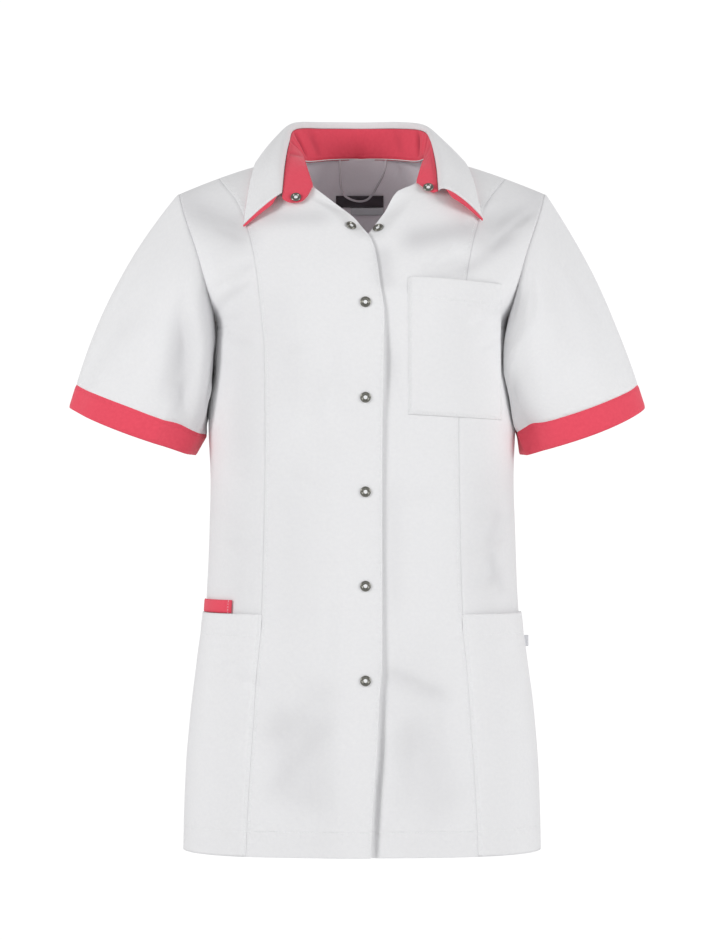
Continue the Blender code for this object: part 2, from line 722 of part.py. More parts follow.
def raised_point(x, level, facing, clear):
    """A point that far over the body's surface."""
    angle = angle_at(x, level, facing)
    return body_point(angle, level) + body_normal(angle, level) * clear


def collar_lines():
    """The collar's four lines round the neck: seam, top of the stand, roll and edge of the fall."""
    stations = [(-1, row) for row in reversed(COLLAR_STATIONS[-1])]
    stations += [(1, COLLAR_BACK)] + [(1, row) for row in COLLAR_STATIONS[1]]
    lines = [[], [], [], []]
    for side, ((seam_x, seam_level), top, roll, (edge_x, edge_level, facing)) in stations:
        if seam_level is None:
            seam = raised_point(seam_x, neck_back_level(seam_x), -1, STAND_CLEAR)
        else:
            seam = raised_point(seam_x, seam_level, 1, STAND_CLEAR)
        found = (seam, top, roll, raised_point(edge_x, edge_level, facing, FALL_CLEAR))
        for line, point in zip(lines, found):
            line.append(np.array(point) * (side, 1.0, 1.0))
    return [catmull_rom(line, COLLAR_SPANS) for line in lines]


def grid_normals(rows):
    """The directions square to a grid of points, on the side from which its rows run down and its columns
    to the left."""
    rows = np.asarray(rows)
    normals = np.cross(np.gradient(rows, axis=0), np.gradient(rows, axis=1))
    return normals / np.linalg.norm(normals, axis=2, keepdims=True)


def stand_rows(seam, top):
    """The stand's face towards the neck, with a rounded tab at each end."""
    lower, upper = list(seam), list(top)
    for right, left in zip(STAND_TAB[-1], STAND_TAB[1]):
        for line, at in ((lower, 0), (upper, 1)):
            x, level, height = right[at]
            line.insert(0, raised_point(x, level, 1, height) * (-1.0, 1.0, 1.0))
            x, level, height = left[at]
            line.append(raised_point(x, level, 1, height))
    lower, upper = np.array(lower), np.array(upper)
    return np.array([upper + (lower - upper) * share for share in (0.0, 0.5, 1.0)])


def collar():
    """The coral stand, the white fall that rolls over it, and the coral under collar behind the fall."""
    seam, top, roll, edge = collar_lines()
    stand = stand_rows(seam, top)
    stand_normals = grid_normals(stand)
    cloth_object("collar_stand", stand, stand_normals, COLLAR_CLOTH, "coral_cloth")
    rise = (top - seam) / np.linalg.norm(top - seam, axis=1, keepdims=True)
    start = top + rise * SEAM_GAP * 1.5
    out = edge - top
    out /= np.linalg.norm(out, axis=1, keepdims=True)
    bend = start + (edge - start) * 0.25 + roll * 1.5 + out * ROLL_WIDTH
    rows = []
    for r in range(FALL_SPANS + 1):
        t = r / FALL_SPANS
        curve = (1 - t) ** 3 * start + 3 * t * (1 - t) ** 2 * (start + roll)
        rows.append(curve + 3 * t**2 * (1 - t) * bend + t**3 * edge)
    fall = np.array(rows)
    normals = -grid_normals(fall)
    cloth_object("collar_fall", fall, normals, COLLAR_CLOTH, "white_cloth")
    behind = COLLAR_CLOTH + SEAM_GAP
    under = fall[UNDER_FROM:] - normals[UNDER_FROM:] * behind
    cloth_object("collar_under", under, normals[UNDER_FROM:], COLLAR_CLOTH, "coral_cloth")
    return stand, stand_normals


def patch(name, angle_of, levels, spans, clear, cloth, material, bulge=0.0):
    """A piece that lies on the body: its points are the panel's, moved out, and its mouth stands open."""
    rows, normals = [], []
    for r, level in enumerate(levels):
        row, row_normals = [], []
        for c in range(spans + 1):
            share = c / spans
            angle = angle_of(share, level)
            normal = body_normal(angle, level)
            open_by = bulge * math.sin(math.pi * share) * (1.0 - smooth_step(r / len(levels) * 1.4))
            row.append(body_point(angle, level) + normal * (clear + cloth + open_by))
            row_normals.append(normal)
        rows.append(row)
        normals.append(row_normals)
    return cloth_object(name, rows, normals, cloth, material)


def even(first, last, count):
    """Evenly spaced values, both ends included."""
    return [first + (last - first) * i / count for i in range(count + 1)]


def chest_pocket():
    """The pocket on the wearer's left, over the princess seam, its outer end a little lower."""
    size = CHEST_POCKET
    rows, normals = [], []
    for r, level in enumerate(even(size["top"], size["bottom"], 7)):
        row, row_normals = [], []
        for share in even(0.0, 1.0, 10):
            at = level + size["tilt"] * share
            angle = angle_at(size["inner"] + (size["outer"] - size["inner"]) * share, at)
            normal = body_normal(angle, at)
            open_by = MOUTH_BULGE / 2 * math.sin(math.pi * share) * (1.0 - smooth_step(r / 4))
            row.append(body_point(angle, at) + normal * (POCKET_CLEAR + CLOTH + open_by))
            row_normals.append(normal)
        rows.append(row)
        normals.append(row_normals)
    cloth_object("chest_pocket", rows, normals, CLOTH, "white_cloth")


def side_pocket(side, name):
    """A side pocket: from the princess seam to the side seam, and down to the hem."""

    def angle_of(share, level):
        first = angle_at(smooth_read(PRINCESS, level), level) + SEAM_ANGLE
        return side * (first + (min(SIDE_POCKET_END, side_end(level) - SEAM_ANGLE * 2) - first) * share)

    below = SIDE_POCKET_TOP - LOWER_STEP / 3
    levels = [SIDE_POCKET_TOP] + [level for level in panel_levels() if level < below]
    patch("side_pocket_" + name, angle_of, levels, 8, POCKET_CLEAR, CLOTH, "white_cloth", MOUTH_BULGE)


def pocket_loop():
    """The coral loop over the mouth of the right side pocket."""
    size = LOOP_TAB

    def angle_of(share, level):
        return -(size["inner"] + (size["outer"] - size["inner"]) * share)

    levels = even(size["top"], size["bottom"], 1)
    patch("pocket_loop", angle_of, levels, 6, POCKET_CLEAR, CUFF_CLOTH, "coral_cloth")


def neck_tag(name, size, material):
    """A blank label inside the back neck."""
    rows, normals = [], []
    for level in even(size["top"], size["bottom"], 1):
        row, row_normals = [], []
        for x in even(size["left"], size["right"], 6):
            angle = angle_at(x, level, -1) if x else math.pi
            normal = body_normal(angle, level)
            row.append(body_point(angle, level) - normal * (CLOTH + LABEL_CLEAR + LABEL_CLOTH))
            row_normals.append(-normal)
        rows.append(row)
        normals.append(row_normals)
    cloth_object(name, rows, normals, LABEL_CLOTH, material)


def side_label():
    """The blank label in the wearer's left side seam."""
    size = SIDE_LABEL
    root = body_point(math.pi / 2, size["z"])[0] + size["clear"]
    mesh = bmesh.new()
    bmesh.ops.create_cube(mesh, size=1.0)
    bmesh.ops.scale(mesh, vec=(size["reach"], size["thick"], size["height"]), verts=mesh.verts)
    bmesh.ops.translate(mesh, vec=(root + size["reach"] / 2, size["thick"], size["z"]), verts=mesh.verts)
    finish_mesh("side_label", mesh, "white_cloth")


def hanger_loop():
    """The white tape inside the back neck, sewn in at both ends."""
    path = np.array([(x, HANGER_Y, z) for x, z in HANGER_PATH])
    along = np.gradient(path, axis=0)
    along /= np.linalg.norm(along, axis=1, keepdims=True)
    across = np.cross(along, (0.0, 1.0, 0.0)) * HANGER_WIDTH / 2
    rows = np.stack([path - across, path + across], axis=1)
    normals = np.broadcast_to((0.0, -1.0, 0.0), rows.shape)
    cloth_object("hanger_loop", rows, normals, HANGER_CLOTH, "white_cloth")


def snap(name, place, normal):
    """A steel ring cap with a small dome in the middle, standing on the cloth at that place."""
    mesh = bmesh.new()
    profile = [mesh.verts.new((radius, 0.0, height)) for radius, height in ((0.0, 0.0), *SNAP_PROFILE)]
    edges = [mesh.edges.new(pair) for pair in zip(profile, profile[1:])]
    bmesh.ops.spin(
        mesh,
        geom=profile + edges,
        cent=(0.0, 0.0, 0.0),
        axis=(0.0, 0.0, 1.0),
        angle=2 * math.pi,
        steps=SNAP_STEPS,
        use_merge=True,
    )
    bmesh.ops.remove_doubles(mesh, verts=mesh.verts, dist=0.00002)
    bmesh.ops.recalc_face_normals(mesh, faces=mesh.faces)
    turn = Vector((0.0, 0.0, 1.0)).rotation_difference(Vector(normal)).to_matrix().to_4x4()
    bmesh.ops.transform(mesh, matrix=Matrix.Translation(Vector(place)) @ turn, verts=mesh.verts)
    finish_mesh(name, mesh, "steel")


def front_point(side, x, level):
    """A point of a centre front's outer face, and the outward direction of the body there."""
    angle = angle_at(x, level)
    normal = body_normal(angle, level)
    return body_point(angle, level) + normal * front_rise(side, side * x, level), normal


def front_snap(name, side, x, level, clear=SNAP_CLEAR):
    """A snap on a centre front, square to it."""
    point, _ = front_point(side, x, level)
    reach = SNAP_PROFILE[1][0]
    across = front_point(side, x + reach, level)[0] - front_point(side, x - reach, level)[0]
    up = front_point(side, x, level + reach)[0] - front_point(side, x, level - reach)[0]
    normal = np.cross(across, up)
    normal /= np.linalg.norm(normal)
    snap(name, point + normal * clear, normal)


def snaps(stand, stand_normals):
    """The closure: five snaps down the front, one at the neck and one on the stand, the last two open."""
    for i in range(SNAP_COUNT):
        front_snap(f"snap_{i + 1}", -1, SNAP_X, SNAP_FIRST - SNAP_SPACING * i)
    front_snap("neck_snap", -1, *NECK_SNAP, NECK_SNAP_CLEAR)
    front_snap("neck_stud", 1, *NECK_STUD, NECK_SNAP_CLEAR)
    for name, column in (("stand_snap", STAND_SNAP_COLUMN), ("stand_stud", -1 - STAND_SNAP_COLUMN)):
        normal = stand_normals[1][column]
        snap(name, stand[1][column] + normal * SNAP_CLEAR * 2, normal)


def build():
    """The whole jacket."""
    clear_scene()
    centre_front("front_right_centre", -1, RIGHT_EDGE, CENTRE_SPANS)
    centre_front("front_left_centre", 1, LEFT_EDGE, CENTRE_SPANS)
    side_front("front_right_side", -1, SIDE_SPANS)
    side_front("front_left_side", 1, SIDE_SPANS)
    back_panel(BACK_SPANS)
    for side, name in ((-1, "right"), (1, "left")):
        sleeve(side, name)
        side_pocket(side, name)
    stand, stand_normals = collar()
    chest_pocket()
    pocket_loop()
    neck_tag("neck_label", NECK_LABEL, "label")
    neck_tag("size_label", SIZE_LABEL, "white_cloth")
    side_label()
    hanger_loop()
    snaps(stand, stand_normals)


build()
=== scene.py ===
import math

import bmesh
import bpy
import numpy as np
from mathutils import Matrix, Vector, noise


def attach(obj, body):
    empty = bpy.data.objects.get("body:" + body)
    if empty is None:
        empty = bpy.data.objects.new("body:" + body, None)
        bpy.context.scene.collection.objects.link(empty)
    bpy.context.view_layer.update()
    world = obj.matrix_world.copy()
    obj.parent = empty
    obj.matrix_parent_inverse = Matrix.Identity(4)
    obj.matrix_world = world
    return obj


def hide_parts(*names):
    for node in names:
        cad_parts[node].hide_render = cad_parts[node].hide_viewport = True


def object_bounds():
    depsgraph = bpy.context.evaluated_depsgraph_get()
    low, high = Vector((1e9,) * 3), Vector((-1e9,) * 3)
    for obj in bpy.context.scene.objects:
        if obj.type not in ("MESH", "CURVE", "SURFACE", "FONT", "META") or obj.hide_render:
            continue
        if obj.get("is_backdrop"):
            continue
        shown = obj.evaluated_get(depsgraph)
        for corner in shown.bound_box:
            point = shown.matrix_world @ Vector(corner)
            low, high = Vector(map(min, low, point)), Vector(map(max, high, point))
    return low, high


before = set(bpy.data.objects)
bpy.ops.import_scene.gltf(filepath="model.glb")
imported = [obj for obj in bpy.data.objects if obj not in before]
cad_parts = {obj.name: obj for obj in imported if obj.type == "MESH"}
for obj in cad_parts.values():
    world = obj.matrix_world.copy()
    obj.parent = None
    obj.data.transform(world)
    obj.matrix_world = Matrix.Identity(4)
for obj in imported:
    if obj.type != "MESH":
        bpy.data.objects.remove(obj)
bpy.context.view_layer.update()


# Helpers


def softStep(value):
    value = np.clip(value, 0.0, 1.0)
    return value * value * (3.0 - 2.0 * value)


# A smooth curve through one column of a table whose first column is the level, read for many levels at once
def curveOf(rows, column=1):
    at = np.array([-row[0] for row in rows])
    value = np.array([row[column] for row in rows])
    slope = np.diff(value) / np.diff(at)
    product = slope[:-1] * slope[1:]
    total = np.where(product > 0, slope[:-1] + slope[1:], 1.0)
    inner = np.where(product > 0, 2.0 * product / total, 0.0)
    tangent = np.concatenate((slope[:1], inner, slope[-1:]))

    def read(level):
        place = np.clip(-np.asarray(level, float), at[0], at[-1])
        i = np.clip(np.searchsorted(at, place, side="right") - 1, 0, len(slope) - 1)
        span = at[i + 1] - at[i]
        t = (place - at[i]) / span
        first = (2 * t**3 - 3 * t**2 + 1) * value[i] + (t**3 - 2 * t**2 + t) * span * tangent[i]
        second = (3 * t**2 - 2 * t**3) * value[i + 1] + (t**3 - t**2) * span * tangent[i + 1]
        return first + second

    return read


def unit(vectors):
    return vectors / np.maximum(np.linalg.norm(vectors, axis=-1, keepdims=True), 1e-12)


def gridNormals(points):
    return unit(np.cross(np.gradient(points, axis=0), np.gradient(points, axis=1)))


# Points on a smooth curve through a few given ones
def smoothLine(points, spans):
    points = [np.asarray(p, float) for p in points]
    ends = [2 * points[0] - points[1], *points, 2 * points[-1] - points[-2]]
    made = []
    for a, b, c, d in zip(ends, ends[1:], ends[2:], ends[3:]):
        for t in np.arange(spans) / spans:
            square = (2 * a - 5 * b + 4 * c - d) * t**2
            cube = (3 * b - a - 3 * c + d) * t**3
            made.append((2 * b + (c - a) * t + square + cube) / 2)
    made.append(points[-1])
    return np.array(made)


# Distance over a line or a grid of points from its first one, along that axis
def runAlong(points, axis=0):
    steps = np.linalg.norm(np.diff(points, axis=axis), axis=-1)
    return np.insert(np.cumsum(steps, axis=axis), 0, 0.0, axis=axis)


def rowsBetween(first, last, shares):
    return first[None] + (last - first)[None] * shares[:, None, None]


def placed(name, data):
    made = bpy.data.objects.new(name, data)
    bpy.context.scene.collection.objects.link(made)
    return made


def titleOf(node):
    return "".join(word.title() for word in node.split("_"))


def linear(hexColour):
    made = []
    for i in (0, 2, 4):
        part = int(hexColour[i : i + 2], 16) / 255
        made.append(part / 12.92 if part <= 0.04045 else ((part + 0.055) / 1.055) ** 2.4)
    return (*made, 1.0)


# Adds a node with its settings, its fixed inputs and its links from other sockets
def addNode(tree, kind, settings=None, values=None, links=None):
    node = tree.nodes.new(kind)
    for key, value in (settings or {}).items():
        setattr(node, key, value)
    for key, value in (values or {}).items():
        node.inputs[key].default_value = value
    for key, socket in (links or {}).items():
        tree.links.new(socket, node.inputs[key])
    return node


def blankMaterial(name, roughness, colour=None):
    material = bpy.data.materials.new(name)
    material.use_nodes = True
    shader = material.node_tree.nodes["Principled BSDF"]
    shader.inputs["Roughness"].default_value = roughness
    if colour:
        shader.inputs["Base Color"].default_value = linear(colour)
    return material, material.node_tree, shader


# Materials

# The ribs are drawn far coarser than real ones, which lie 0.5 mm apart and are finer than the eye sees. A
# groove and puckers run along each line of stitches. The scales are larger for finer patterns
weave = {
    "ribSize": 0.021,  # the ribs lie 0.44 times this apart
    "ribWander": 1.4,
    "ribDepth": 0.10,
    "ribHeight": 0.0003,
    "slubScale": 260.0,
    "rumpleScale": 34.0,
    "rumpleDepth": 0.28,
    "rumpleHeight": 0.0022,
    "puckerScale": 190.0,
    "puckerDepth": 0.55,
    "puckerHeight": 0.0016,
    "puckerWidth": 0.0055,
    "grooveDepth": 0.65,
    "grooveHeight": 0.0005,
    "grooveWidth": 0.0009,
    "sheenRoughness": 0.5,
    "specular": 0.25,
}
satin = {"threads": 160.0, "wander": 0.6, "depth": 0.15, "height": 0.0002}
steel = {"spots": 420.0, "least": 0.26, "most": 0.34}
thread = {"twist": 2500.0, "depth": 0.2, "height": 0.0001, "roughness": 0.55}


def addMath(tree, operation, values, links):
    return addNode(tree, "ShaderNodeMath", {"operation": operation}, values, links).outputs[0]


def addNoise(tree, place, scale, detail):
    values = {"Scale": scale, "Detail": detail}
    return addNode(tree, "ShaderNodeTexNoise", {}, values, {"Vector": place}).outputs["Fac"]


# Relief from one pattern, on top of an earlier one if that is given
def addBump(tree, pattern, strength, distance, normal=None, sunk=False):
    links = {"Height": pattern}
    if normal:
        links["Normal"] = normal
    values = {"Strength": strength, "Distance": distance}
    return addNode(tree, "ShaderNodeBump", {"invert": sunk}, values, links).outputs["Normal"]


# 1 on a line of stitches, and a half at that distance from it
def nearStitches(tree, away, width):
    ratio = addMath(tree, "MULTIPLY", {1: 1.0 / width}, {0: away})
    square = addMath(tree, "POWER", {1: 2.0}, {0: ratio})
    below = addMath(tree, "ADD", {1: 1.0}, {0: square})
    return addMath(tree, "DIVIDE", {0: 1.0}, {1: below})


def metrePlace(tree):
    return addNode(tree, "ShaderNodeUVMap", {"uv_map": "UVMap"}).outputs["UV"]


def attributeOf(tree, name):
    return addNode(tree, "ShaderNodeAttribute", {"attribute_name": name}).outputs["Fac"]


def mixedColour(tree, values, links):
    return addNode(tree, "ShaderNodeMix", {"data_type": "RGBA"}, values, links).outputs["Result"]


# Polyester and cotton twill: its fine diagonal ribs and soft rumples give the eye a matt, slightly uneven
# surface. A pressed groove with small puckers runs along each line of stitches. The colour also holds
# painted
# shade: it turns towards a darker grey by each point's share of painted shade, drawn in creases and hollows
def clothMaterial(name, colour, shade, roughness, sheen, paintedShade=None):
    material, tree, shader = blankMaterial(name, roughness)
    place = metrePlace(tree)
    ribs = addNode(
        tree,
        "ShaderNodeTexWave",
        {"wave_type": "BANDS", "bands_direction": "DIAGONAL"},
        {
            "Scale": 1.0 / weave["ribSize"],
            "Distortion": weave["ribWander"],
            "Detail": 2.0,
            "Detail Scale": 3.0,
        },
        {"Vector": place},
    )
    slubs = addNoise(tree, place, weave["slubScale"], 3.0)
    rumples = addNoise(tree, place, weave["rumpleScale"], 4.0)
    tint = mixedColour(tree, {"A": linear(shade), "B": linear(colour)}, {"Factor": slubs})
    # Painted shade: each point's share of grey, drawn where shade falls, is mixed into the colour here
    paintedShadeShare = attributeOf(tree, "paintedShadeShare")
    paintedShadeTint = mixedColour(tree, {"B": linear(paintedShade or shade)}, {"Factor": paintedShadeShare, "A": tint})
    away = attributeOf(tree, "stitchAway")
    groove = nearStitches(tree, away, weave["grooveWidth"])
    nearby = nearStitches(tree, away, weave["puckerWidth"])
    puckers = addNoise(tree, place, weave["puckerScale"], 1.0)
    pucker = addMath(tree, "MULTIPLY", {}, {0: puckers, 1: nearby})
    normal = addBump(tree, rumples, weave["rumpleDepth"], weave["rumpleHeight"])
    normal = addBump(tree, pucker, weave["puckerDepth"], weave["puckerHeight"], normal)
    normal = addBump(tree, groove, weave["grooveDepth"], weave["grooveHeight"], normal, sunk=True)
    normal = addBump(tree, ribs.outputs["Fac"], weave["ribDepth"], weave["ribHeight"], normal)
    tree.links.new(paintedShadeTint, shader.inputs["Base Color"])
    tree.links.new(normal, shader.inputs["Normal"])
    shader.inputs["Sheen Weight"].default_value = sheen
    shader.inputs["Sheen Roughness"].default_value = weave["sheenRoughness"]
    shader.inputs["Specular IOR Level"].default_value = weave["specular"]
    return material


# Woven satin ribbon: fine cross threads give the eye a faint shine on a nearly black or a pale ground
def satinMaterial(name, colour, roughness):
    material, tree, shader = blankMaterial(name, roughness, colour)
    threads = addNode(
        tree,
        "ShaderNodeTexWave",
        {"wave_type": "BANDS", "bands_direction": "Y"},
        {"Scale": satin["threads"], "Distortion": satin["wander"]},
        {"Vector": metrePlace(tree)},
    )
    normal = addBump(tree, threads.outputs["Fac"], satin["depth"], satin["height"])
    tree.links.new(normal, shader.inputs["Normal"])
    return material


# Nickel-plated steel, slightly dulled by washing: fine uneven gloss on a grey metal
def steelMaterial(name, colour):
    material, tree, shader = blankMaterial(name, steel["least"], colour)
    place = addNode(tree, "ShaderNodeTexCoord").outputs["Object"]
    dull = addNoise(tree, place, steel["spots"], 1.0)
    span = {"To Min": steel["least"], "To Max": steel["most"]}
    gloss = addNode(tree, "ShaderNodeMapRange", {}, span, {"Value": dull})
    tree.links.new(gloss.outputs["Result"], shader.inputs["Roughness"])
    shader.inputs["Metallic"].default_value = 1.0
    return material


# Polyester sewing thread: smoother than the cloth, so each stitch catches a little light
def threadMaterial(name, colour):
    material, tree, shader = blankMaterial(name, thread["roughness"], colour)
    place = addNode(tree, "ShaderNodeTexCoord").outputs["Object"]
    twist = addNoise(tree, place, thread["twist"], 1.0)
    tree.links.new(addBump(tree, twist, thread["depth"], thread["height"]), shader.inputs["Normal"])
    return material


# The last colour of the white and the coral twill is the grey of their painted shade, drawn in creases and
# hollows
whiteTwill = clothMaterial("WhiteTwill", "EFEFF0", "E8E8EA", 0.82, 0.12, paintedShade="BCBBBE")
# Painted light: the back's inner face is drawn paler and pinker than the white twill, for the pink light
# that bounces off the coral parts inside the shirt
paintedBounceTwill = clothMaterial("PaintedPinkBounceTwill", "FCF6FB", "F6EFF5", 0.85, 0.05)
# Painted shade: the white hanger tape is drawn a darker lilac grey, for the shade inside the back neck
paintedShadeTape = clothMaterial("WhiteTapePaintedShade", "CFC8CE", "C4BDC3", 0.80, 0.05)
coralTwill = clothMaterial("CoralTwill", "EF5468", "E5495D", 0.80, 0.15, paintedShade="B43A4C")
darkSatin = satinMaterial("DarkSatin", "453E43", 0.45)
paleSatin = satinMaterial("PaleSatin", "D9DADE", 0.50)
nickelSteel = steelMaterial("NickelSteel", "85847D")
whiteThread = threadMaterial("WhiteThread", "F2F3F4")
coralThread = threadMaterial("CoralThread", "F0586A")
print("materials made")

# Body

body = {
    "length": 0.752,
    "shoulderHalf": 0.199,
    "shoulderDrop": 0.040,
    "neckHalf": 0.068,
    "neckBack": 0.075,
    "shoulderRound": 0.130,  # how far below the shoulder seam the chest and back reach their full depth
    "shoulderArch": 1.4,
    "napeRise": 0.051,
    "napeLevel": 0.0465,
    "napeHalf": 0.080,
    "shoulderFade": 0.16,  # how far down the shoulder's slope dies out
    "fullness": 0.006,
    "fullnessAside": 0.082,
    "fullnessLevel": -0.185,
    "fullnessHalf": 0.045,
    "fullnessHigh": 0.055,
    "boxy": 0.080,  # squares the sections a little, in radians
    "seamGap": 0.0001,
    "seamMeet": 0.0030,  # a centre front reaches this far over the princess seam, in radians
    "cloth": 0.0009,
    "hemDepth": 0.027,
    "armpit": -0.190,
    "ventTop": -0.712,
    "ventGap": 0.0007,
    "ventFade": 0.03,
    "sideRadius": 0.12,  # turns a width at the side into an angle; the next ones do so in front and behind
    "frontRadius": 0.13,
    "backRadius": 0.16,
    "backHalfRound": 0.21,
    "placketHalf": 0.0220,
    "placketFade": 0.0350,
    "liftFade": 0.03,
    "tuck": 0.0040,  # seam allowance that lies under the next panel
    "tuckDepth": 0.0014,
    "seamDip": 0.0006,
    "seamDipWidth": 0.0035,
    "seamDipUnder": 1.9,  # times as much on a side panel at the princess seam
    "seamDipOver": 0.3,  # and on a centre front
    "neckRoll": 0.0095,  # both fronts turn back beside the neck opening
    "neckRollWidth": 0.026,
    "neckRollTop": -0.040,
    "neckRollFoot": -0.076,
    "neckRollTopFade": 0.020,
    "neckRollFootFade": 0.022,
    "neckFade": 0.15,  # how far down the back's rows follow the neck's edge
    "standEnd": -0.0350,
    "foldShare": 1.3,  # deeper than drawn in the tables
    "creaseShare": 2.1,
    "sinkAside": 0.0030,  # where the left front sinks in beside the edge of the right one
    "sinkHalf": 0.0048,
}

# level, half width, front depth and back depth of the body's sections
bodySections = (
    (0.000, 0.2080, 0.094, 0.092),
    (-0.042, 0.2060, 0.100, 0.097),
    (-0.100, 0.2000, 0.110, 0.104),
    (-0.130, 0.1920, 0.117, 0.106),
    (-0.160, 0.1750, 0.122, 0.106),
    (-0.182, 0.1610, 0.124, 0.105),
    (-0.210, 0.1626, 0.124, 0.102),
    (-0.290, 0.1670, 0.119, 0.092),
    (-0.347, 0.1652, 0.115, 0.087),
    (-0.399, 0.1665, 0.113, 0.088),
    (-0.445, 0.1680, 0.113, 0.093),
    (-0.498, 0.1708, 0.115, 0.101),
    (-0.543, 0.1765, 0.117, 0.108),
    (-0.613, 0.1855, 0.120, 0.115),
    (-0.660, 0.1893, 0.122, 0.118),
    (-0.720, 0.1916, 0.123, 0.119),
    (-0.760, 0.1924, 0.123, 0.119),
)
# level and distance from the centre line; an edge that passes the centre line is negative
princess = (
    (0.000, 0.1550), (-0.045, 0.1310), (-0.080, 0.1205), (-0.120, 0.1125), (-0.147, 0.1090),
    (-0.182, 0.1055), (-0.213, 0.1030), (-0.300, 0.1022), (-0.400, 0.1035), (-0.495, 0.1065),
    (-0.561, 0.1125), (-0.607, 0.1155), (-0.666, 0.1195), (-0.716, 0.1222), (-0.760, 0.1240),
)
armhole = (
    (0.000, body["shoulderHalf"]), (-0.030, 0.1925), (-0.060, 0.1855), (-0.095, 0.1775),
    (-0.130, 0.1700), (-0.155, 0.1640), (-0.175, 0.1585), (-0.185, 0.1572),
)
rightEdge = (
    (0.000, 0.0680), (-0.014, 0.0635), (-0.035, 0.0527), (-0.060, 0.0170), (-0.069, 0.0070),
    (-0.090, -0.0074), (-0.107, -0.0138), (-0.142, -0.0195), (-0.177, -0.0239), (-0.220, -0.0228),
    (-0.310, -0.0217), (-0.545, -0.0216), (-0.583, -0.0187), (-0.645, -0.0156), (-0.687, -0.0124),
    (-0.760, -0.0090),
)
leftEdge = (
    (0.000, 0.0680), (-0.014, 0.0635), (-0.031, 0.0585), (-0.042, 0.0374), (-0.062, 0.0226),
    (-0.083, 0.0085), (-0.092, 0.0040), (-0.105, -0.0080), (-0.130, -0.0150), (-0.180, -0.0185),
    (-0.760, -0.0190),
)
# level and height of the right front's edge over the left front
lift = (
    (0.000, 0.0030), (-0.120, 0.0026), (-0.185, 0.0020), (-0.225, 0.0034), (-0.270, 0.0024),
    (-0.400, 0.0023), (-0.550, 0.0027), (-0.650, 0.0034), (-0.760, 0.0036),
)
# level and depth to which the left front sinks in beside the edge of the right one
sink = (
    (0.000, 0.0), (-0.140, 0.0), (-0.190, 0.0016), (-0.230, 0.0034), (-0.280, 0.0012),
    (-0.400, 0.0004), (-0.520, 0.0008), (-0.580, 0.0022), (-0.680, 0.0046), (-0.740, 0.0036),
    (-0.760, 0.0030),
)
# front 1 or back -1, both ends as x and z, depth (a ridge is negative), half width
bodyFolds = (
    (1, 0.128, -0.084, 0.188, -0.046, 0.0022, 0.009),
    (1, 0.120, -0.100, 0.160, -0.068, 0.0016, 0.008),
    (1, 0.060, -0.128, 0.112, -0.108, 0.0014, 0.008),
    (1, -0.030, -0.190, -0.026, -0.300, 0.0016, 0.010),
    (1, -0.110, -0.150, -0.152, -0.172, 0.0018, 0.009),
    (1, -0.052, -0.590, -0.046, -0.735, 0.0030, 0.018),
    (1, 0.056, -0.580, 0.048, -0.735, 0.0030, 0.018),
    (1, 0.104, -0.440, 0.160, -0.400, 0.0022, 0.011),
    (1, -0.120, -0.400, -0.162, -0.365, 0.0020, 0.011),
    (1, -0.126, -0.545, -0.170, -0.600, 0.0018, 0.012),
    (1, 0.124, -0.560, 0.172, -0.540, 0.0018, 0.012),
    (-1, -0.060, -0.330, -0.150, -0.380, 0.0026, 0.012),
    (-1, 0.040, -0.350, 0.140, -0.330, 0.0026, 0.012),
    (-1, -0.070, -0.560, -0.080, -0.735, 0.0030, 0.020),
    (-1, 0.090, -0.540, 0.084, -0.735, 0.0030, 0.020),
    (-1, -0.110, -0.110, -0.165, -0.160, 0.0022, 0.011),
    (-1, 0.112, -0.120, 0.160, -0.150, 0.0022, 0.011),
)
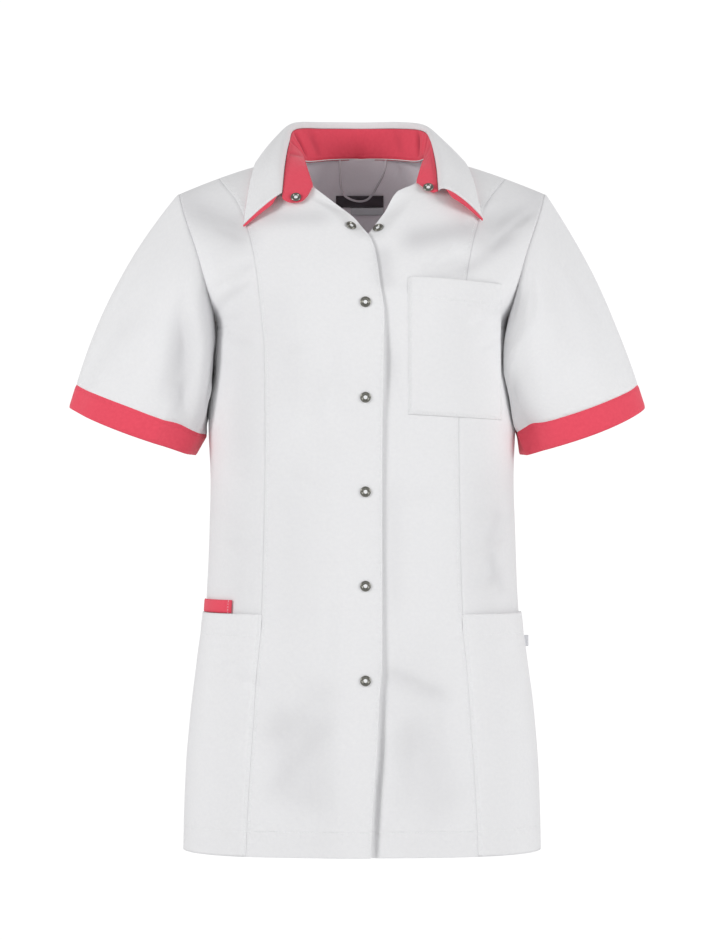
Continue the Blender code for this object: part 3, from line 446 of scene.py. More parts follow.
# Smaller creases, laid out in the same way
fineFolds = (
    (1, -0.192, -0.048, -0.112, -0.088, 0.0016, 0.0130),
    (1, 0.102, -0.088, 0.190, -0.052, 0.0016, 0.0130),
    (1, 0.131, -0.106, 0.192, -0.054, 0.0022, 0.0050),
    (1, -0.170, -0.178, -0.106, -0.132, 0.0018, 0.0055),
    (1, -0.164, -0.150, -0.112, -0.116, 0.0012, 0.0045),
    (1, 0.059, -0.131, 0.117, -0.107, 0.0014, 0.0045),
    (1, 0.160, -0.384, 0.141, -0.428, 0.0016, 0.0055),
    (1, 0.141, -0.420, 0.134, -0.470, 0.0014, 0.0055),
    (1, 0.022, -0.552, 0.100, -0.592, 0.0016, 0.0080),
    (1, -0.020, -0.560, -0.110, -0.660, 0.0022, 0.0190),
    (1, -0.094, -0.584, -0.062, -0.732, 0.0034, 0.0260),
    (1, 0.040, -0.604, 0.104, -0.732, 0.0034, 0.0250),
    (1, -0.104, -0.208, -0.158, -0.190, 0.0014, 0.0055),
    (1, -0.112, -0.232, -0.156, -0.222, 0.0009, 0.0060),
    (1, 0.110, -0.190, 0.150, -0.166, 0.0014, 0.0050),
    (1, 0.118, -0.212, 0.152, -0.196, 0.0010, 0.0050),
    (1, -0.144, -0.559, -0.104, -0.572, 0.0010, 0.0060),
    (1, 0.134, -0.108, 0.170, -0.080, 0.0010, 0.0045),
    (1, 0.108, -0.076, 0.150, -0.046, -0.0010, 0.0060),
    (1, 0.074, -0.118, 0.104, -0.098, 0.0008, 0.0045),
    (1, -0.112, -0.118, -0.156, -0.128, 0.0010, 0.0045),
    (1, -0.106, -0.134, -0.150, -0.150, -0.0008, 0.0050),
    (1, -0.120, -0.176, -0.150, -0.182, 0.0009, 0.0045),
    (1, -0.122, -0.096, -0.160, -0.078, 0.0009, 0.0050),
    (1, -0.084, -0.060, -0.128, -0.050, 0.0007, 0.0060),
    (1, -0.034, -0.236, -0.060, -0.300, 0.0008, 0.0080),
    (1, -0.060, -0.205, -0.092, -0.235, 0.0007, 0.0070),
    (1, 0.034, -0.200, 0.038, -0.290, 0.0009, 0.0060),
    (1, -0.104, -0.350, -0.150, -0.332, 0.0008, 0.0060),
    (1, -0.110, -0.428, -0.158, -0.404, 0.0010, 0.0070),
    (1, 0.108, -0.398, 0.158, -0.372, 0.0009, 0.0070),
    (1, 0.110, -0.470, 0.164, -0.440, 0.0009, 0.0070),
    (1, -0.040, -0.360, -0.088, -0.345, 0.0006, 0.0090),
    (1, 0.034, -0.380, 0.090, -0.366, 0.0006, 0.0090),
    (1, -0.030, -0.470, -0.034, -0.560, 0.0007, 0.0080),
    (1, 0.030, -0.600, 0.040, -0.700, -0.0008, 0.0100),
    (1, -0.078, -0.560, -0.072, -0.700, -0.0008, 0.0110),
    (1, 0.090, -0.560, 0.082, -0.690, 0.0010, 0.0100),
    (1, 0.134, -0.612, 0.166, -0.622, 0.0008, 0.0060),
    (1, -0.126, -0.550, -0.168, -0.540, 0.0011, 0.0065),
    (1, -0.136, -0.630, -0.172, -0.622, 0.0008, 0.0060),
    (-1, -0.080, -0.362, -0.140, -0.344, 0.0010, 0.0070),
    (-1, 0.060, -0.378, 0.148, -0.392, 0.0010, 0.0070),
    (-1, -0.030, -0.410, -0.100, -0.430, 0.0008, 0.0080),
    (-1, 0.020, -0.420, 0.090, -0.440, 0.0008, 0.0080),
    (-1, -0.100, -0.080, -0.160, -0.110, 0.0009, 0.0060),
    (-1, 0.100, -0.086, 0.158, -0.112, 0.0009, 0.0060),
    (-1, -0.120, -0.172, -0.152, -0.190, 0.0010, 0.0050),
    (-1, 0.118, -0.170, 0.150, -0.186, 0.0010, 0.0050),
    (-1, -0.024, -0.560, -0.018, -0.700, -0.0009, 0.0120),
    (-1, 0.034, -0.570, 0.040, -0.710, 0.0010, 0.0120),
    (-1, -0.126, -0.540, -0.134, -0.680, 0.0010, 0.0110),
    (-1, 0.134, -0.550, 0.136, -0.690, 0.0010, 0.0110),
)
# Broad patches of painted shade on the shoulders, under the collar, beside the placket and in hollows,
# laid out in the same way, with the share of grey in them for a depth
paintedShadePatches = (
    (1, -0.225, -0.036, -0.100, -0.100, 0.40, 0.022),
    (1, 0.098, -0.092, 0.225, -0.040, 0.36, 0.024),
    (1, 0.092, -0.142, 0.176, -0.080, 0.26, 0.008),
    (1, -0.126, -0.072, -0.020, -0.070, 0.34, 0.009),
    (1, 0.030, -0.100, 0.132, -0.078, 0.50, 0.013),
    (1, 0.020, -0.096, 0.026, -0.156, 0.30, 0.011),
    (1, 0.036, -0.150, 0.128, -0.120, 0.22, 0.006),
    (1, -0.140, -0.120, -0.128, -0.380, 0.18, 0.026),
    (1, -0.138, -0.330, -0.134, -0.520, 0.12, 0.026),
    (1, 0.142, -0.300, 0.136, -0.520, 0.14, 0.026),
    (1, -0.074, -0.500, -0.050, -0.800, 0.08, 0.036),
    (1, 0.052, -0.480, 0.074, -0.800, 0.09, 0.036),
    (1, 0.004, -0.548, 0.100, -0.588, 0.13, 0.011),
    (1, -0.020, -0.590, -0.110, -0.700, 0.12, 0.012),
    (1, -0.170, -0.522, -0.104, -0.566, 0.14, 0.008),
    (1, 0.150, -0.376, 0.132, -0.432, 0.14, 0.006),
    (1, 0.132, -0.420, 0.154, -0.480, 0.14, 0.006),
    (1, -0.090, -0.110, -0.070, -0.300, 0.07, 0.022),
    (1, -0.075, -0.300, -0.070, -0.560, 0.08, 0.026),
    (1, 0.030, -0.330, 0.034, -0.520, 0.10, 0.012),
)
# Painted shade: how much grey is drawn for each metre of a crease's and a fold's depth, and the most of it
paintedShadeShares = {"crease": 31.25, "fold": 6.667, "most": 0.5}  # grey for each metre of depth
foldEnds = 0.3  # the share of a fold's length over which it fades at each end
swells = {
    "size": 0.105,
    "height": 0.0011,
    "upright": 0.7,
    "smallSize": 0.040,
    "smallHeight": 0.00025,
    "heldShare": 0.35,  # what is left of them at the shoulder
    "heldDepth": 0.15,
}

halfWidthAt = curveOf(bodySections, 1)
frontDepthAt = curveOf(bodySections, 2)
backDepthAt = curveOf(bodySections, 3)
princessAt = curveOf(princess)
armholeAt = curveOf(armhole)
rightEdgeAt = curveOf(rightEdge)
leftEdgeAt = curveOf(leftEdge)
liftAt = curveOf(lift)
sinkAt = curveOf(sink)


# How deep the folds of a table lie at each place
def foldDepth(folds, x, z, facing):
    depth = np.zeros(np.broadcast(x, z).shape)
    for on, x1, z1, x2, z2, most, halfWidth in folds:
        length = math.hypot(x2 - x1, z2 - z1)
        along = ((x - x1) * (x2 - x1) + (z - z1) * (z2 - z1)) / length**2
        across = ((x - x1) * (z2 - z1) - (z - z1) * (x2 - x1)) / length
        ends = softStep(along / foldEnds) * softStep((1.0 - along) / foldEnds)
        depth += np.where(facing == on, most * ends * np.exp(-((across / halfWidth) ** 2)), 0.0)
    return depth


# The share of painted shade at each point of the body: grey where shade falls in its creases, folds and
# broad hollows
def bodyPaintedShade(points, facing=1):
    x, z = points[..., 0], points[..., 2]
    creases = foldDepth(fineFolds, x, z, facing) * paintedShadeShares["crease"]
    folds = foldDepth(bodyFolds, x, z, facing) * paintedShadeShares["fold"]
    return np.clip(creases + folds + foldDepth(paintedShadePatches, x, z, facing), 0.0, paintedShadeShares["most"])


# Slow, uneven rises and falls of cloth that hangs free, and less of them at the shoulder, where it is held
def swell(points):
    flat = points.reshape(-1, 3)
    made = np.empty(len(flat))
    size, small = swells["size"], swells["smallSize"]
    for i, (x, y, z) in enumerate(flat):
        made[i] = swells["height"] * noise.noise((x / size, y / size, z / size * swells["upright"]))
        made[i] += swells["smallHeight"] * noise.noise((x / small, y / small, z / small + 7.0))
    held = swells["heldShare"]
    held = held + (1.0 - held) * softStep(-flat[:, 2] / swells["heldDepth"])
    return (made * held).reshape(points.shape[:-1])


# A point of the body's surface. The angle runs from the centre front over the wearer's left side to the
# centre back, and the level down from the shoulder seam
def bodyPoint(angle, level):
    angle, level = np.broadcast_arrays(np.asarray(angle, float), np.asarray(level, float))
    facing = np.where(np.cos(angle) >= 0, 1, -1)
    depth = np.where(facing > 0, frontDepthAt(level), backDepthAt(level))
    turn = body["boxy"] * np.sin(2 * angle)
    x = halfWidthAt(level) * np.sin(angle + turn)
    outward = np.maximum(0.0, (np.abs(x) - body["neckHalf"]) / (body["shoulderHalf"] - body["neckHalf"]))
    shoulder = -body["shoulderDrop"] * outward ** body["shoulderArch"]
    z = level + (1.0 - softStep(-level / body["shoulderFade"])) * shoulder
    below = np.clip((shoulder - z) / body["shoulderRound"], 0.0, 1.0)
    y = -depth * np.cos(angle - turn) * np.sqrt(1.0 - (1.0 - below) ** 2)
    aside = (np.abs(x) - body["fullnessAside"]) / body["fullnessHalf"]
    off = (z - body["fullnessLevel"]) / body["fullnessHigh"]
    y = y - np.where(facing > 0, body["fullness"] * np.exp(-(aside**2) - off**2), 0.0)
    rise = np.clip(-level / body["napeLevel"], 0.0, 1.0)
    rise = rise * (1.0 - softStep((-level - body["napeLevel"]) / body["shoulderFade"]))
    z = z + np.where(facing > 0, 0.0, body["napeRise"] * rise * np.exp(-((x / body["napeHalf"]) ** 6)))
    folds = foldDepth(bodyFolds, x, z, facing) * body["foldShare"]
    folds = folds + foldDepth(fineFolds, x, z, facing) * body["creaseShare"]
    y = y - facing * body["seamGap"] / 2 + facing * folds
    return np.stack((x, y, z), axis=-1)


# The angle at which the body's surface has that x at that level
def angleAt(x, level, facing=1):
    x, level = np.broadcast_arrays(np.asarray(x, float), np.asarray(level, float))
    share = np.minimum(0.9999, np.abs(x) / halfWidthAt(level))
    angle = np.arcsin(share)
    for _ in range(14):
        angle = np.arcsin(share) - body["boxy"] * np.sin(2 * angle)
    angle = np.copysign(angle, x)
    return angle if facing > 0 else np.copysign(math.pi, x) - angle


# How far a front turns back towards the neck opening, beside its edge
def neckRoll(x, level, edge):
    beside = 1.0 - softStep(np.abs(x - edge) / body["neckRollWidth"])
    below = softStep((body["neckRollTop"] - level) / body["neckRollTopFade"])
    above = 1.0 - softStep((body["neckRollFoot"] - level) / body["neckRollFootFade"])
    return body["neckRoll"] * beside * below * above


# How far a centre front stands over the body's surface. Both turn back beside the neck opening, the right
# one lies over the left one, and the left one sinks in beside the edge that lies on it
def frontRise(side, x, level):
    aside = side * x
    rise = -neckRoll(aside, level, (rightEdgeAt if side < 0 else leftEdgeAt)(level))
    if side < 0:
        near = 1.0 - softStep((aside - body["placketHalf"]) / body["placketFade"])
        return rise + liftAt(level) * near * softStep((body["standEnd"] - level) / body["liftFade"])
    beside = (aside + rightEdgeAt(level) - body["sinkAside"]) / body["sinkHalf"]
    return rise - sinkAt(level) * np.exp(-(beside**2))


# Points that far over the body's surface, with its swells
def bodyOver(angle, level, over=0.0):
    angle, level = np.broadcast_arrays(np.asarray(angle, float), np.asarray(level, float))
    step = 0.0008
    point = bodyPoint(angle, level)
    side = math.pi / 2
    front = np.abs(angle) < side
    first = np.where(front, np.maximum(angle - 4 * step, -side + 1e-6), angle - 4 * step)
    last = np.where(front, np.minimum(angle + 4 * step, side - 1e-6), angle + 4 * step)
    down = bodyPoint(angle, level - step) - bodyPoint(angle, np.minimum(0.0, level + step))
    normal = unit(np.cross(down, bodyPoint(last, level) - bodyPoint(first, level)))
    return point + normal * (np.asarray(over, float) + swell(point))[..., None], normal


# The angle at which the armhole, or the side seam below the armpit, ends a front
def armholeAngle(level):
    level = np.asarray(level, float)
    reach = np.minimum(angleAt(armholeAt(level), level), math.pi / 2)
    return np.where(level <= body["armpit"] + 1e-9, math.pi / 2, reach)


# The same, less the small gap of the vent at the hem
def sideEnd(level):
    gap = body["ventGap"] * softStep((body["ventTop"] - level) / body["ventFade"])
    return armholeAngle(level) - gap / body["sideRadius"]


# A body panel's rows are closer at the shoulder, and turned up inside at the hem
panel = {
    "upperRows": 62,
    "lowerRows": 170,
    "hemRows": 10,
    "turnedRows": 8,
    "turnedDepth": 0.0018,
    "centreColumns": 66,
    "sideColumns": 50,
    "backColumns": 168,
    "edgeStitch": 0.0022,  # the lines of stitches run that far from the front's edge and from the seam
    "seamStitch": 0.0030,
    "seamShare": 1.6,
}


# The level of each row of a body panel, and its depth below the panel's face
def panelRows():
    upper = body["armpit"] * (np.linspace(0, 1, panel["upperRows"]) ** 1.5)
    hem = -body["length"]
    stitched = hem + body["hemDepth"]
    lower = np.linspace(body["armpit"], stitched, panel["lowerRows"])[1:]
    below = np.linspace(stitched, hem + 0.0008, panel["hemRows"])[1:]
    plain = np.concatenate((upper, lower, below))
    edge = (hem + 0.0002, hem, hem, hem + 0.0002)
    edgeDepths = (0.0001, 0.0004, 0.0014, 0.0017)
    turned = np.linspace(hem + 0.001, stitched, panel["turnedRows"])
    turnedDepths = np.full(panel["turnedRows"], panel["turnedDepth"])
    depths = np.concatenate((np.zeros(len(plain)), edgeDepths, turnedDepths))
    return np.concatenate((plain, edge, turned)), depths


# Column shares from 0 to 1, closer together at both edges
def columnShares(count):
    near = np.array((0.0, 0.004, 0.010, 0.020, 0.034))
    middle = np.linspace(near[-1], 1.0 - near[-1], count + 2 - 2 * len(near))[1:-1]
    return np.concatenate((near, middle, 1.0 - near[::-1]))


# A sheet of cloth from rows of points on its outer face, with thickness inward. A flip of -1 turns the face
# over. The UV is in metres, stitchAway holds each point's distance from the nearest line of stitches, and a
# second attribute its share of painted shade, the grey drawn where shade falls in creases and hollows
def clothPiece(
    name, points, thickness, material, flip=1, closed=False, away=None, inside=None, paintedShadeShare=None
):
    rows, columns = points.shape[:2]
    points = points[:, ::flip]
    away = np.full((rows, columns), 1.0) if away is None else away[:, ::flip]
    paintedShadeShare = np.zeros((rows, columns)) if paintedShadeShare is None else paintedShadeShare[:, ::flip]
    wide = points if not closed else np.concatenate((points, points[:, :1]), axis=1)
    u = runAlong(wide, 1)
    u = u - u[:, -1:] / 2
    v = np.broadcast_to(runAlong(wide).mean(axis=1, keepdims=True), u.shape)
    mesh = bmesh.new()
    layer = mesh.loops.layers.uv.new("UVMap")
    reach = mesh.verts.layers.float.new("stitchAway")
    paintedShade = mesh.verts.layers.float.new("paintedShadeShare")
    verts = [[mesh.verts.new(p) for p in row] for row in points]
    for r in range(rows):
        for c in range(columns):
            verts[r][c][reach] = away[r, c]
            verts[r][c][paintedShade] = paintedShadeShare[r, c]
    for r in range(rows - 1):
        for c in range(wide.shape[1] - 1):
            d = (c + 1) % columns
            corners = ((r, c, c), (r + 1, c, c), (r + 1, d, c + 1), (r, d, c + 1))
            face = mesh.faces.new([verts[i][j] for i, j, _ in corners])
            face.smooth = True
            for loop, (i, _, k) in zip(face.loops, corners):
                loop[layer].uv = (u[i, k], -v[i, k])
    data = bpy.data.meshes.new(name)
    mesh.to_mesh(data)
    mesh.free()
    data.materials.append(material)
    if inside:
        data.materials.append(inside)
    piece = placed(name, data)
    thick = piece.modifiers.new("Cloth", "SOLIDIFY")
    thick.thickness = thickness
    thick.offset = -1.0
    thick.use_even_offset = False
    thick.material_offset = 1 if inside else 0
    return piece


# How far a panel's face drops towards a seam at that distance
def seamDrop(distance, share=1.0):
    return body["seamDip"] * share * (1.0 - softStep(distance / body["seamDipWidth"])) ** 2


# Distance across a grid from its first or its last column
def acrossFrom(points, last=False):
    run = runAlong(points, 1)
    return run[:, -1:] - run if last else run


# One panel of a front between two angles for each level: the centre one of that side or, for side 0, a side
# panel, whose seam allowance goes on under the centre one
def frontPanel(first, last, columns, side=0):
    shares = columnShares(columns)
    width = np.abs(last - first) * body["frontRadius"]
    angles = first[:, None] + (last - first)[:, None] * shares[None, :]
    points, normals = bodyOver(angles, levels[:, None])
    over = -depths[:, None] + np.zeros(angles.shape)
    fromFirst, fromLast = shares[None, :] * width[:, None], (1.0 - shares[None, :]) * width[:, None]
    if side:
        over += frontRise(side, points[..., 0], levels[:, None]) - seamDrop(fromLast, body["seamDipOver"])
        return points + normals * over[..., None]
    over -= seamDrop(fromFirst, body["seamDipUnder"]) + seamDrop(fromLast)
    points = points + normals * over[..., None]
    under = first + np.sign(first - last) * body["tuck"] / body["frontRadius"]
    tuckPoints, tuckNormals = bodyOver(under[:, None], levels[:, None])
    tuckPoints = tuckPoints - tuckNormals * (body["tuckDepth"] + depths[:, None])[..., None]
    near = points[:, [0]] - normals[:, [0]] * body["cloth"]
    return np.concatenate((tuckPoints, near, points), axis=1)


levels, depths = panelRows()
hemStitchLevel = -body["length"] + body["hemDepth"]


# Distance from the hem's line of stitches, for each point of a body panel
def awayFromHem(points):
    return np.abs(points[..., 2] - hemStitchLevel)


bodyPieces = {}
for side, name in ((-1, "right"), (1, "left")):
    edge = rightEdgeAt(levels) if side < 0 else leftEdgeAt(levels)
    start = side * np.copysign(angleAt(np.abs(edge), levels), edge)
    seam = side * angleAt(princessAt(levels), levels)
    meet = seam + side * body["seamMeet"]
    points = frontPanel(start, meet, panel["centreColumns"], side)
    seamAway = np.abs(acrossFrom(points, last=True) - panel["seamStitch"]) * panel["seamShare"]
    away = np.minimum(seamAway, awayFromHem(points))
    if side < 0:
        away = np.minimum(away, np.abs(acrossFrom(points) - panel["edgeStitch"]))
    # Painted shade: the front panels are drawn greyer in their creases, folds and hollows
    paintedGrey = bodyPaintedShade(points)
    title = "FrontCentre" + name.title()
    centre = clothPiece(title, points, body["cloth"], whiteTwill, side, away=away, paintedShadeShare=paintedGrey)
    bodyPieces["front_" + name + "_centre"] = (centre, points)
    points = frontPanel(seam, side * sideEnd(levels), panel["sideColumns"])
    away, paintedGrey = awayFromHem(points), bodyPaintedShade(points)
    title = "FrontSide" + name.title()
    sidePiece = clothPiece(title, points, body["cloth"], whiteTwill, side, away=away, paintedShadeShare=paintedGrey)
    bodyPieces["front_" + name + "_side"] = (sidePiece, points)


# How far back the neck hole reaches
def neckBackY(x):
    return body["neckBack"] * np.sqrt(np.maximum(0.0, 1.0 - (x / body["neckHalf"]) ** 2))


# The level of the back neck's edge, where the surface is as far back as the neck hole
def neckBackLevel(x):
    x = np.asarray(x, float)
    low, high = np.full(x.shape, -0.12), np.zeros(x.shape)
    for _ in range(30):
        middle = (low + high) / 2
        beyond = bodyPoint(angleAt(x, middle, -1), middle)[..., 1] > neckBackY(x)
        low, high = np.where(beyond, middle, low), np.where(beyond, high, middle)
    return low


# The back, in one piece. Its rows follow the neck's edge and straighten out below it
def backPanel(columns):
    shares = columnShares(columns) * 2.0 - 1.0
    angles = math.pi - shares[None, :] * sideEnd(levels)[:, None]
    x = bodyPoint(angles, levels[:, None])[..., 0]
    inside = np.abs(x) < body["neckHalf"]
    drop = neckBackLevel(np.where(inside, x, 0.0)) * (1.0 - softStep(-levels[:, None] / body["neckFade"]))
    at = levels[:, None] + np.where(inside, drop, 0.0)
    angles = np.where(inside, angleAt(x, at, -1), angles)
    angles = np.where(angles < 0, angles + 2 * math.pi, angles)
    points, normals = bodyOver(angles, at)
    distance = np.minimum(shares + 1.0, 1.0 - shares) * body["backHalfRound"]
    over = -depths[:, None] - seamDrop(distance)[None, :]
    points = points + normals * over[..., None]
    tucks = []
    for end, away in ((0, 1), (-1, -1)):
        under = angles[:, end] - away * body["tuck"] / body["backRadius"]
        edgePoints, edgeNormals = bodyOver(under, levels)
        over = (body["tuckDepth"] + depths)[:, None]
        tucks.append((edgePoints - edgeNormals * over)[:, None])
    near = [points[:, [end]] - normals[:, [end]] * body["cloth"] for end in (0, -1)]
    return np.concatenate((tucks[0], near[0], points, near[1], tucks[1]), axis=1)


points = backPanel(panel["backColumns"])
# Painted shade: the back is drawn greyer in its creases, folds and hollows
away, paintedGrey = awayFromHem(points), bodyPaintedShade(points, -1)
back = clothPiece("Back", points, body["cloth"], whiteTwill, -1, away=away, inside=paintedBounceTwill, paintedShadeShare=paintedGrey)
bodyPieces["back"] = (back, points)
print("body panels made")

# Sleeves and cuffs

sleeve = {
    "cuffTilt": math.radians(21.0),
    "depthShare": 0.86,
    "cuffSag": {-1: (0.0040, 0.0052), 1: (0.0046, 0.0088)},  # upper and lower ring
    "swellFront": 0.022,
    "swellUp": {-1: 0.0135, 1: 0.0185},
    "swellOut": {-1: 0.0200, 1: 0.0085},
    "swellIn": {-1: -0.0030, 1: 0.0010},
    "hug": 0.0070,  # behind the arm the sleeve reaches in behind the side of the body
    "frontPush": 0.0180,  # how full it is in front of the armpit
    "pushAngle": math.radians(142),
    "pushWidth": math.radians(30),
    "frontHug": {-1: 0.0100, 1: 0.0190},  # before the arm it lies against the side
    "frontHugAngle": math.radians(122),
    "hugAngle": math.radians(222),
    "hugWidth": math.radians(34),
    "cuffHug": 0.35,
    # the fold depth at which the painted shade is fullest, and its most
    "deepest": 0.0170,
    "paintedShadeShare": 0.38,
    "sideClear": 0.0027,
    "startGap": 0.0004,
    "underarmClear": 0.0014,
    "bandCloth": 0.0009,
    "rings": 78,
    "ringPower": 1.15,  # more than 1 sets the rings closer at the armhole
    "around": 176,
    "clearGrowth": 6.0,
    "swellShare": 1.2,
    "swellFade": 0.02,
    "tuck": 0.0035,  # its seam allowance, turned in behind the body's edge
    "tuckDepth": 0.0024,
    "tuckIn": 0.0010,
    "bendShare": 0.35,
    "bendDepth": 0.0019,
    "stitchIn": 0.0022,
    "startFade": 0.4,  # the shares of a fold's length over which it begins and ends
    "endFade": 0.3,
}
# The cuff band's upper and lower ring by side: distance from the centre line, y, z and half width
cuffRings = {
    -1: ((0.2402, -0.006, -0.2755, 0.0750), (0.2496, -0.007, -0.2973, 0.0724)),
    1: ((0.2310, -0.006, -0.2747, 0.0732), (0.2399, -0.007, -0.2970, 0.0715)),
}
# side, angle round the sleeve (0 outer, 90 front, 180 inner), start and end along it, drift of the angle,
# depth (a ridge is negative) and half width in radians
sleeveFolds = (
    (-1, 88, 0.14, 1.00, 36, 0.0045, 0.25),
    (-1, 90, 0.16, 0.98, 32, 0.0095, 0.24),
    (-1, 52, 0.35, 1.00, -22, 0.0034, 0.24),
    (-1, 150, 0.10, 0.55, 10, 0.0030, 0.20),
    (1, 60, 0.10, 0.80, 16, 0.0026, 0.26),
    (1, 122, 0.45, 1.00, 8, 0.0062, 0.24),
    (1, 90, 0.02, 0.40, 22, 0.0024, 0.22),
    (-1, 250, 0.30, 1.00, 8, 0.0044, 0.24),
    (1, 244, 0.25, 1.00, -8, 0.0044, 0.24),
    (-1, 300, 0.20, 0.80, -12, 0.0026, 0.24),
    (1, 305, 0.30, 0.90, 12, 0.0026, 0.24),
    (-1, 96, 0.30, 0.95, 4, 0.0012, 0.09),
    (-1, 136, 0.20, 0.80, 14, 0.0014, 0.08),
    (-1, 76, 0.05, 0.45, 18, 0.0011, 0.10),
    (-1, 30, 0.25, 0.80, -10, 0.0012, 0.12),
    (-1, 108, 0.50, 1.00, 2, -0.0012, 0.07),
    (1, 104, 0.30, 0.92, 6, 0.0012, 0.09),
    (1, 142, 0.15, 0.70, 12, 0.0014, 0.08),
    (1, 74, 0.02, 0.36, 22, 0.0013, 0.09),
    (1, 40, 0.20, 0.75, -8, 0.0011, 0.12),
    (1, 132, 0.55, 1.00, 4, -0.0011, 0.07),
    (-1, 232, 0.20, 0.75, 10, 0.0012, 0.10),
    (-1, 276, 0.35, 0.90, -8, 0.0011, 0.10),
    (1, 228, 0.15, 0.70, -6, 0.0012, 0.10),
    (1, 278, 0.35, 0.95, 8, 0.0011, 0.10),
    (-1, 340, 0.10, 0.60, 8, 0.0009, 0.12),
    (1, 336, 0.15, 0.65, -6, 0.0009, 0.12),
)


# The armhole's edge as angle and level, from the shoulder seam down the front and up the back
def armholeRound(side, count):
    path = np.linspace(0.0, 1.0, count // 2 + 1)
    down = body["armpit"] * (1.0 - np.cos(path * math.pi)) / 2
    down = 0.45 * down + 0.55 * body["armpit"] * path
    front = side * armholeAngle(down)
    behind = side * (math.pi - armholeAngle(down[::-1][1:-1]))
    return np.concatenate((front, behind)), np.concatenate((down, down[::-1][1:-1]))


# The angle round the sleeve at each armhole point, in step with the distance along the edge
def roundAngles(points, half):
    steps = np.linalg.norm(np.roll(points, -1, axis=0) - points, axis=1)
    front, behind = steps[:half], steps[half:]
    first = np.concatenate(([0.0], np.cumsum(front) / front.sum()))[:-1] * math.pi
    second = np.concatenate(([0.0], np.cumsum(behind) / behind.sum()))[:-1] * math.pi + math.pi
    return np.concatenate((first, second))


# 1 where the sleeve is full in front of the armpit, and 0 elsewhere
def pushed(angles):
    return np.exp(-(((angles - sleeve["pushAngle"]) / sleeve["pushWidth"]) ** 2))


# How far the sleeve reaches in towards the body behind and before the arm
def hug(side, angles):
    reach = 0.0
    behind = (sleeve["hug"], sleeve["hugAngle"])
    before = (sleeve["frontHug"][side], sleeve["frontHugAngle"])
    for most, at in (behind, before):
        turn = (angles - at + math.pi) % (2 * math.pi) - math.pi
        reach = reach + most * np.exp(-((turn / sleeve["hugWidth"]) ** 2))
    return reach


# The points, moved outward where they are less than that far from the side of the body below the armpit
def offBody(side, points, clear):
    x, y, z = points[..., 0], points[..., 1], points[..., 2]
    depth = np.where(y < 0, frontDepthAt(z), backDepthAt(z))
    plain = np.arccos(np.minimum(1.0, np.abs(y) / depth))
    angle = plain
    for _ in range(8):
        angle = plain + body["boxy"] * np.sin(2 * angle)
    wall = halfWidthAt(z) * np.sin(angle + body["boxy"] * np.sin(2 * angle)) + clear
    moved = points.copy()
    moved[..., 0] = np.where(z > body["armpit"], x, side * np.maximum(side * x, wall))
    return moved


# The points of a cuff band's upper (0) or lower (1) ring
def cuffRing(side, angles, ring):
    centreX, centreY, centreZ, half = cuffRings[side][ring]
    out = half * np.cos(angles)
    x = centreX + out * math.cos(sleeve["cuffTilt"]) - sleeve["cuffHug"] * hug(side, angles)
    y = centreY - half * sleeve["depthShare"] * np.sin(angles)
    z = centreZ + out * math.sin(sleeve["cuffTilt"]) - sleeve["cuffSag"][side][ring] * np.sin(angles)
    return offBody(side, np.stack((side * x, y, z), axis=-1), sleeve["sideClear"])


# How deep the sleeve's folds lie at each angle and share of its length
def sleeveDepth(side, angles, along):
    depth = np.zeros(np.broadcast(angles, along).shape)
    for on, at, start, end, drift, most, halfWidth in sleeveFolds:
        if on != side:
            continue
        share = (along - start) / (end - start)
        turn = (angles - np.radians(at + drift * share) + math.pi) % (2 * math.pi) - math.pi
        fade = softStep(share / sleeve["startFade"])
        fade = fade if end >= 1.0 else fade * softStep((1.0 - share) / sleeve["endFade"])
        depth += most * fade * np.exp(-((turn / halfWidth) ** 2))
    return depth


def tubeNormals(points, side):
    around = np.roll(points, -1, axis=1) - np.roll(points, 1, axis=1)
    return unit(np.cross(around, np.gradient(points, axis=0)) * side)


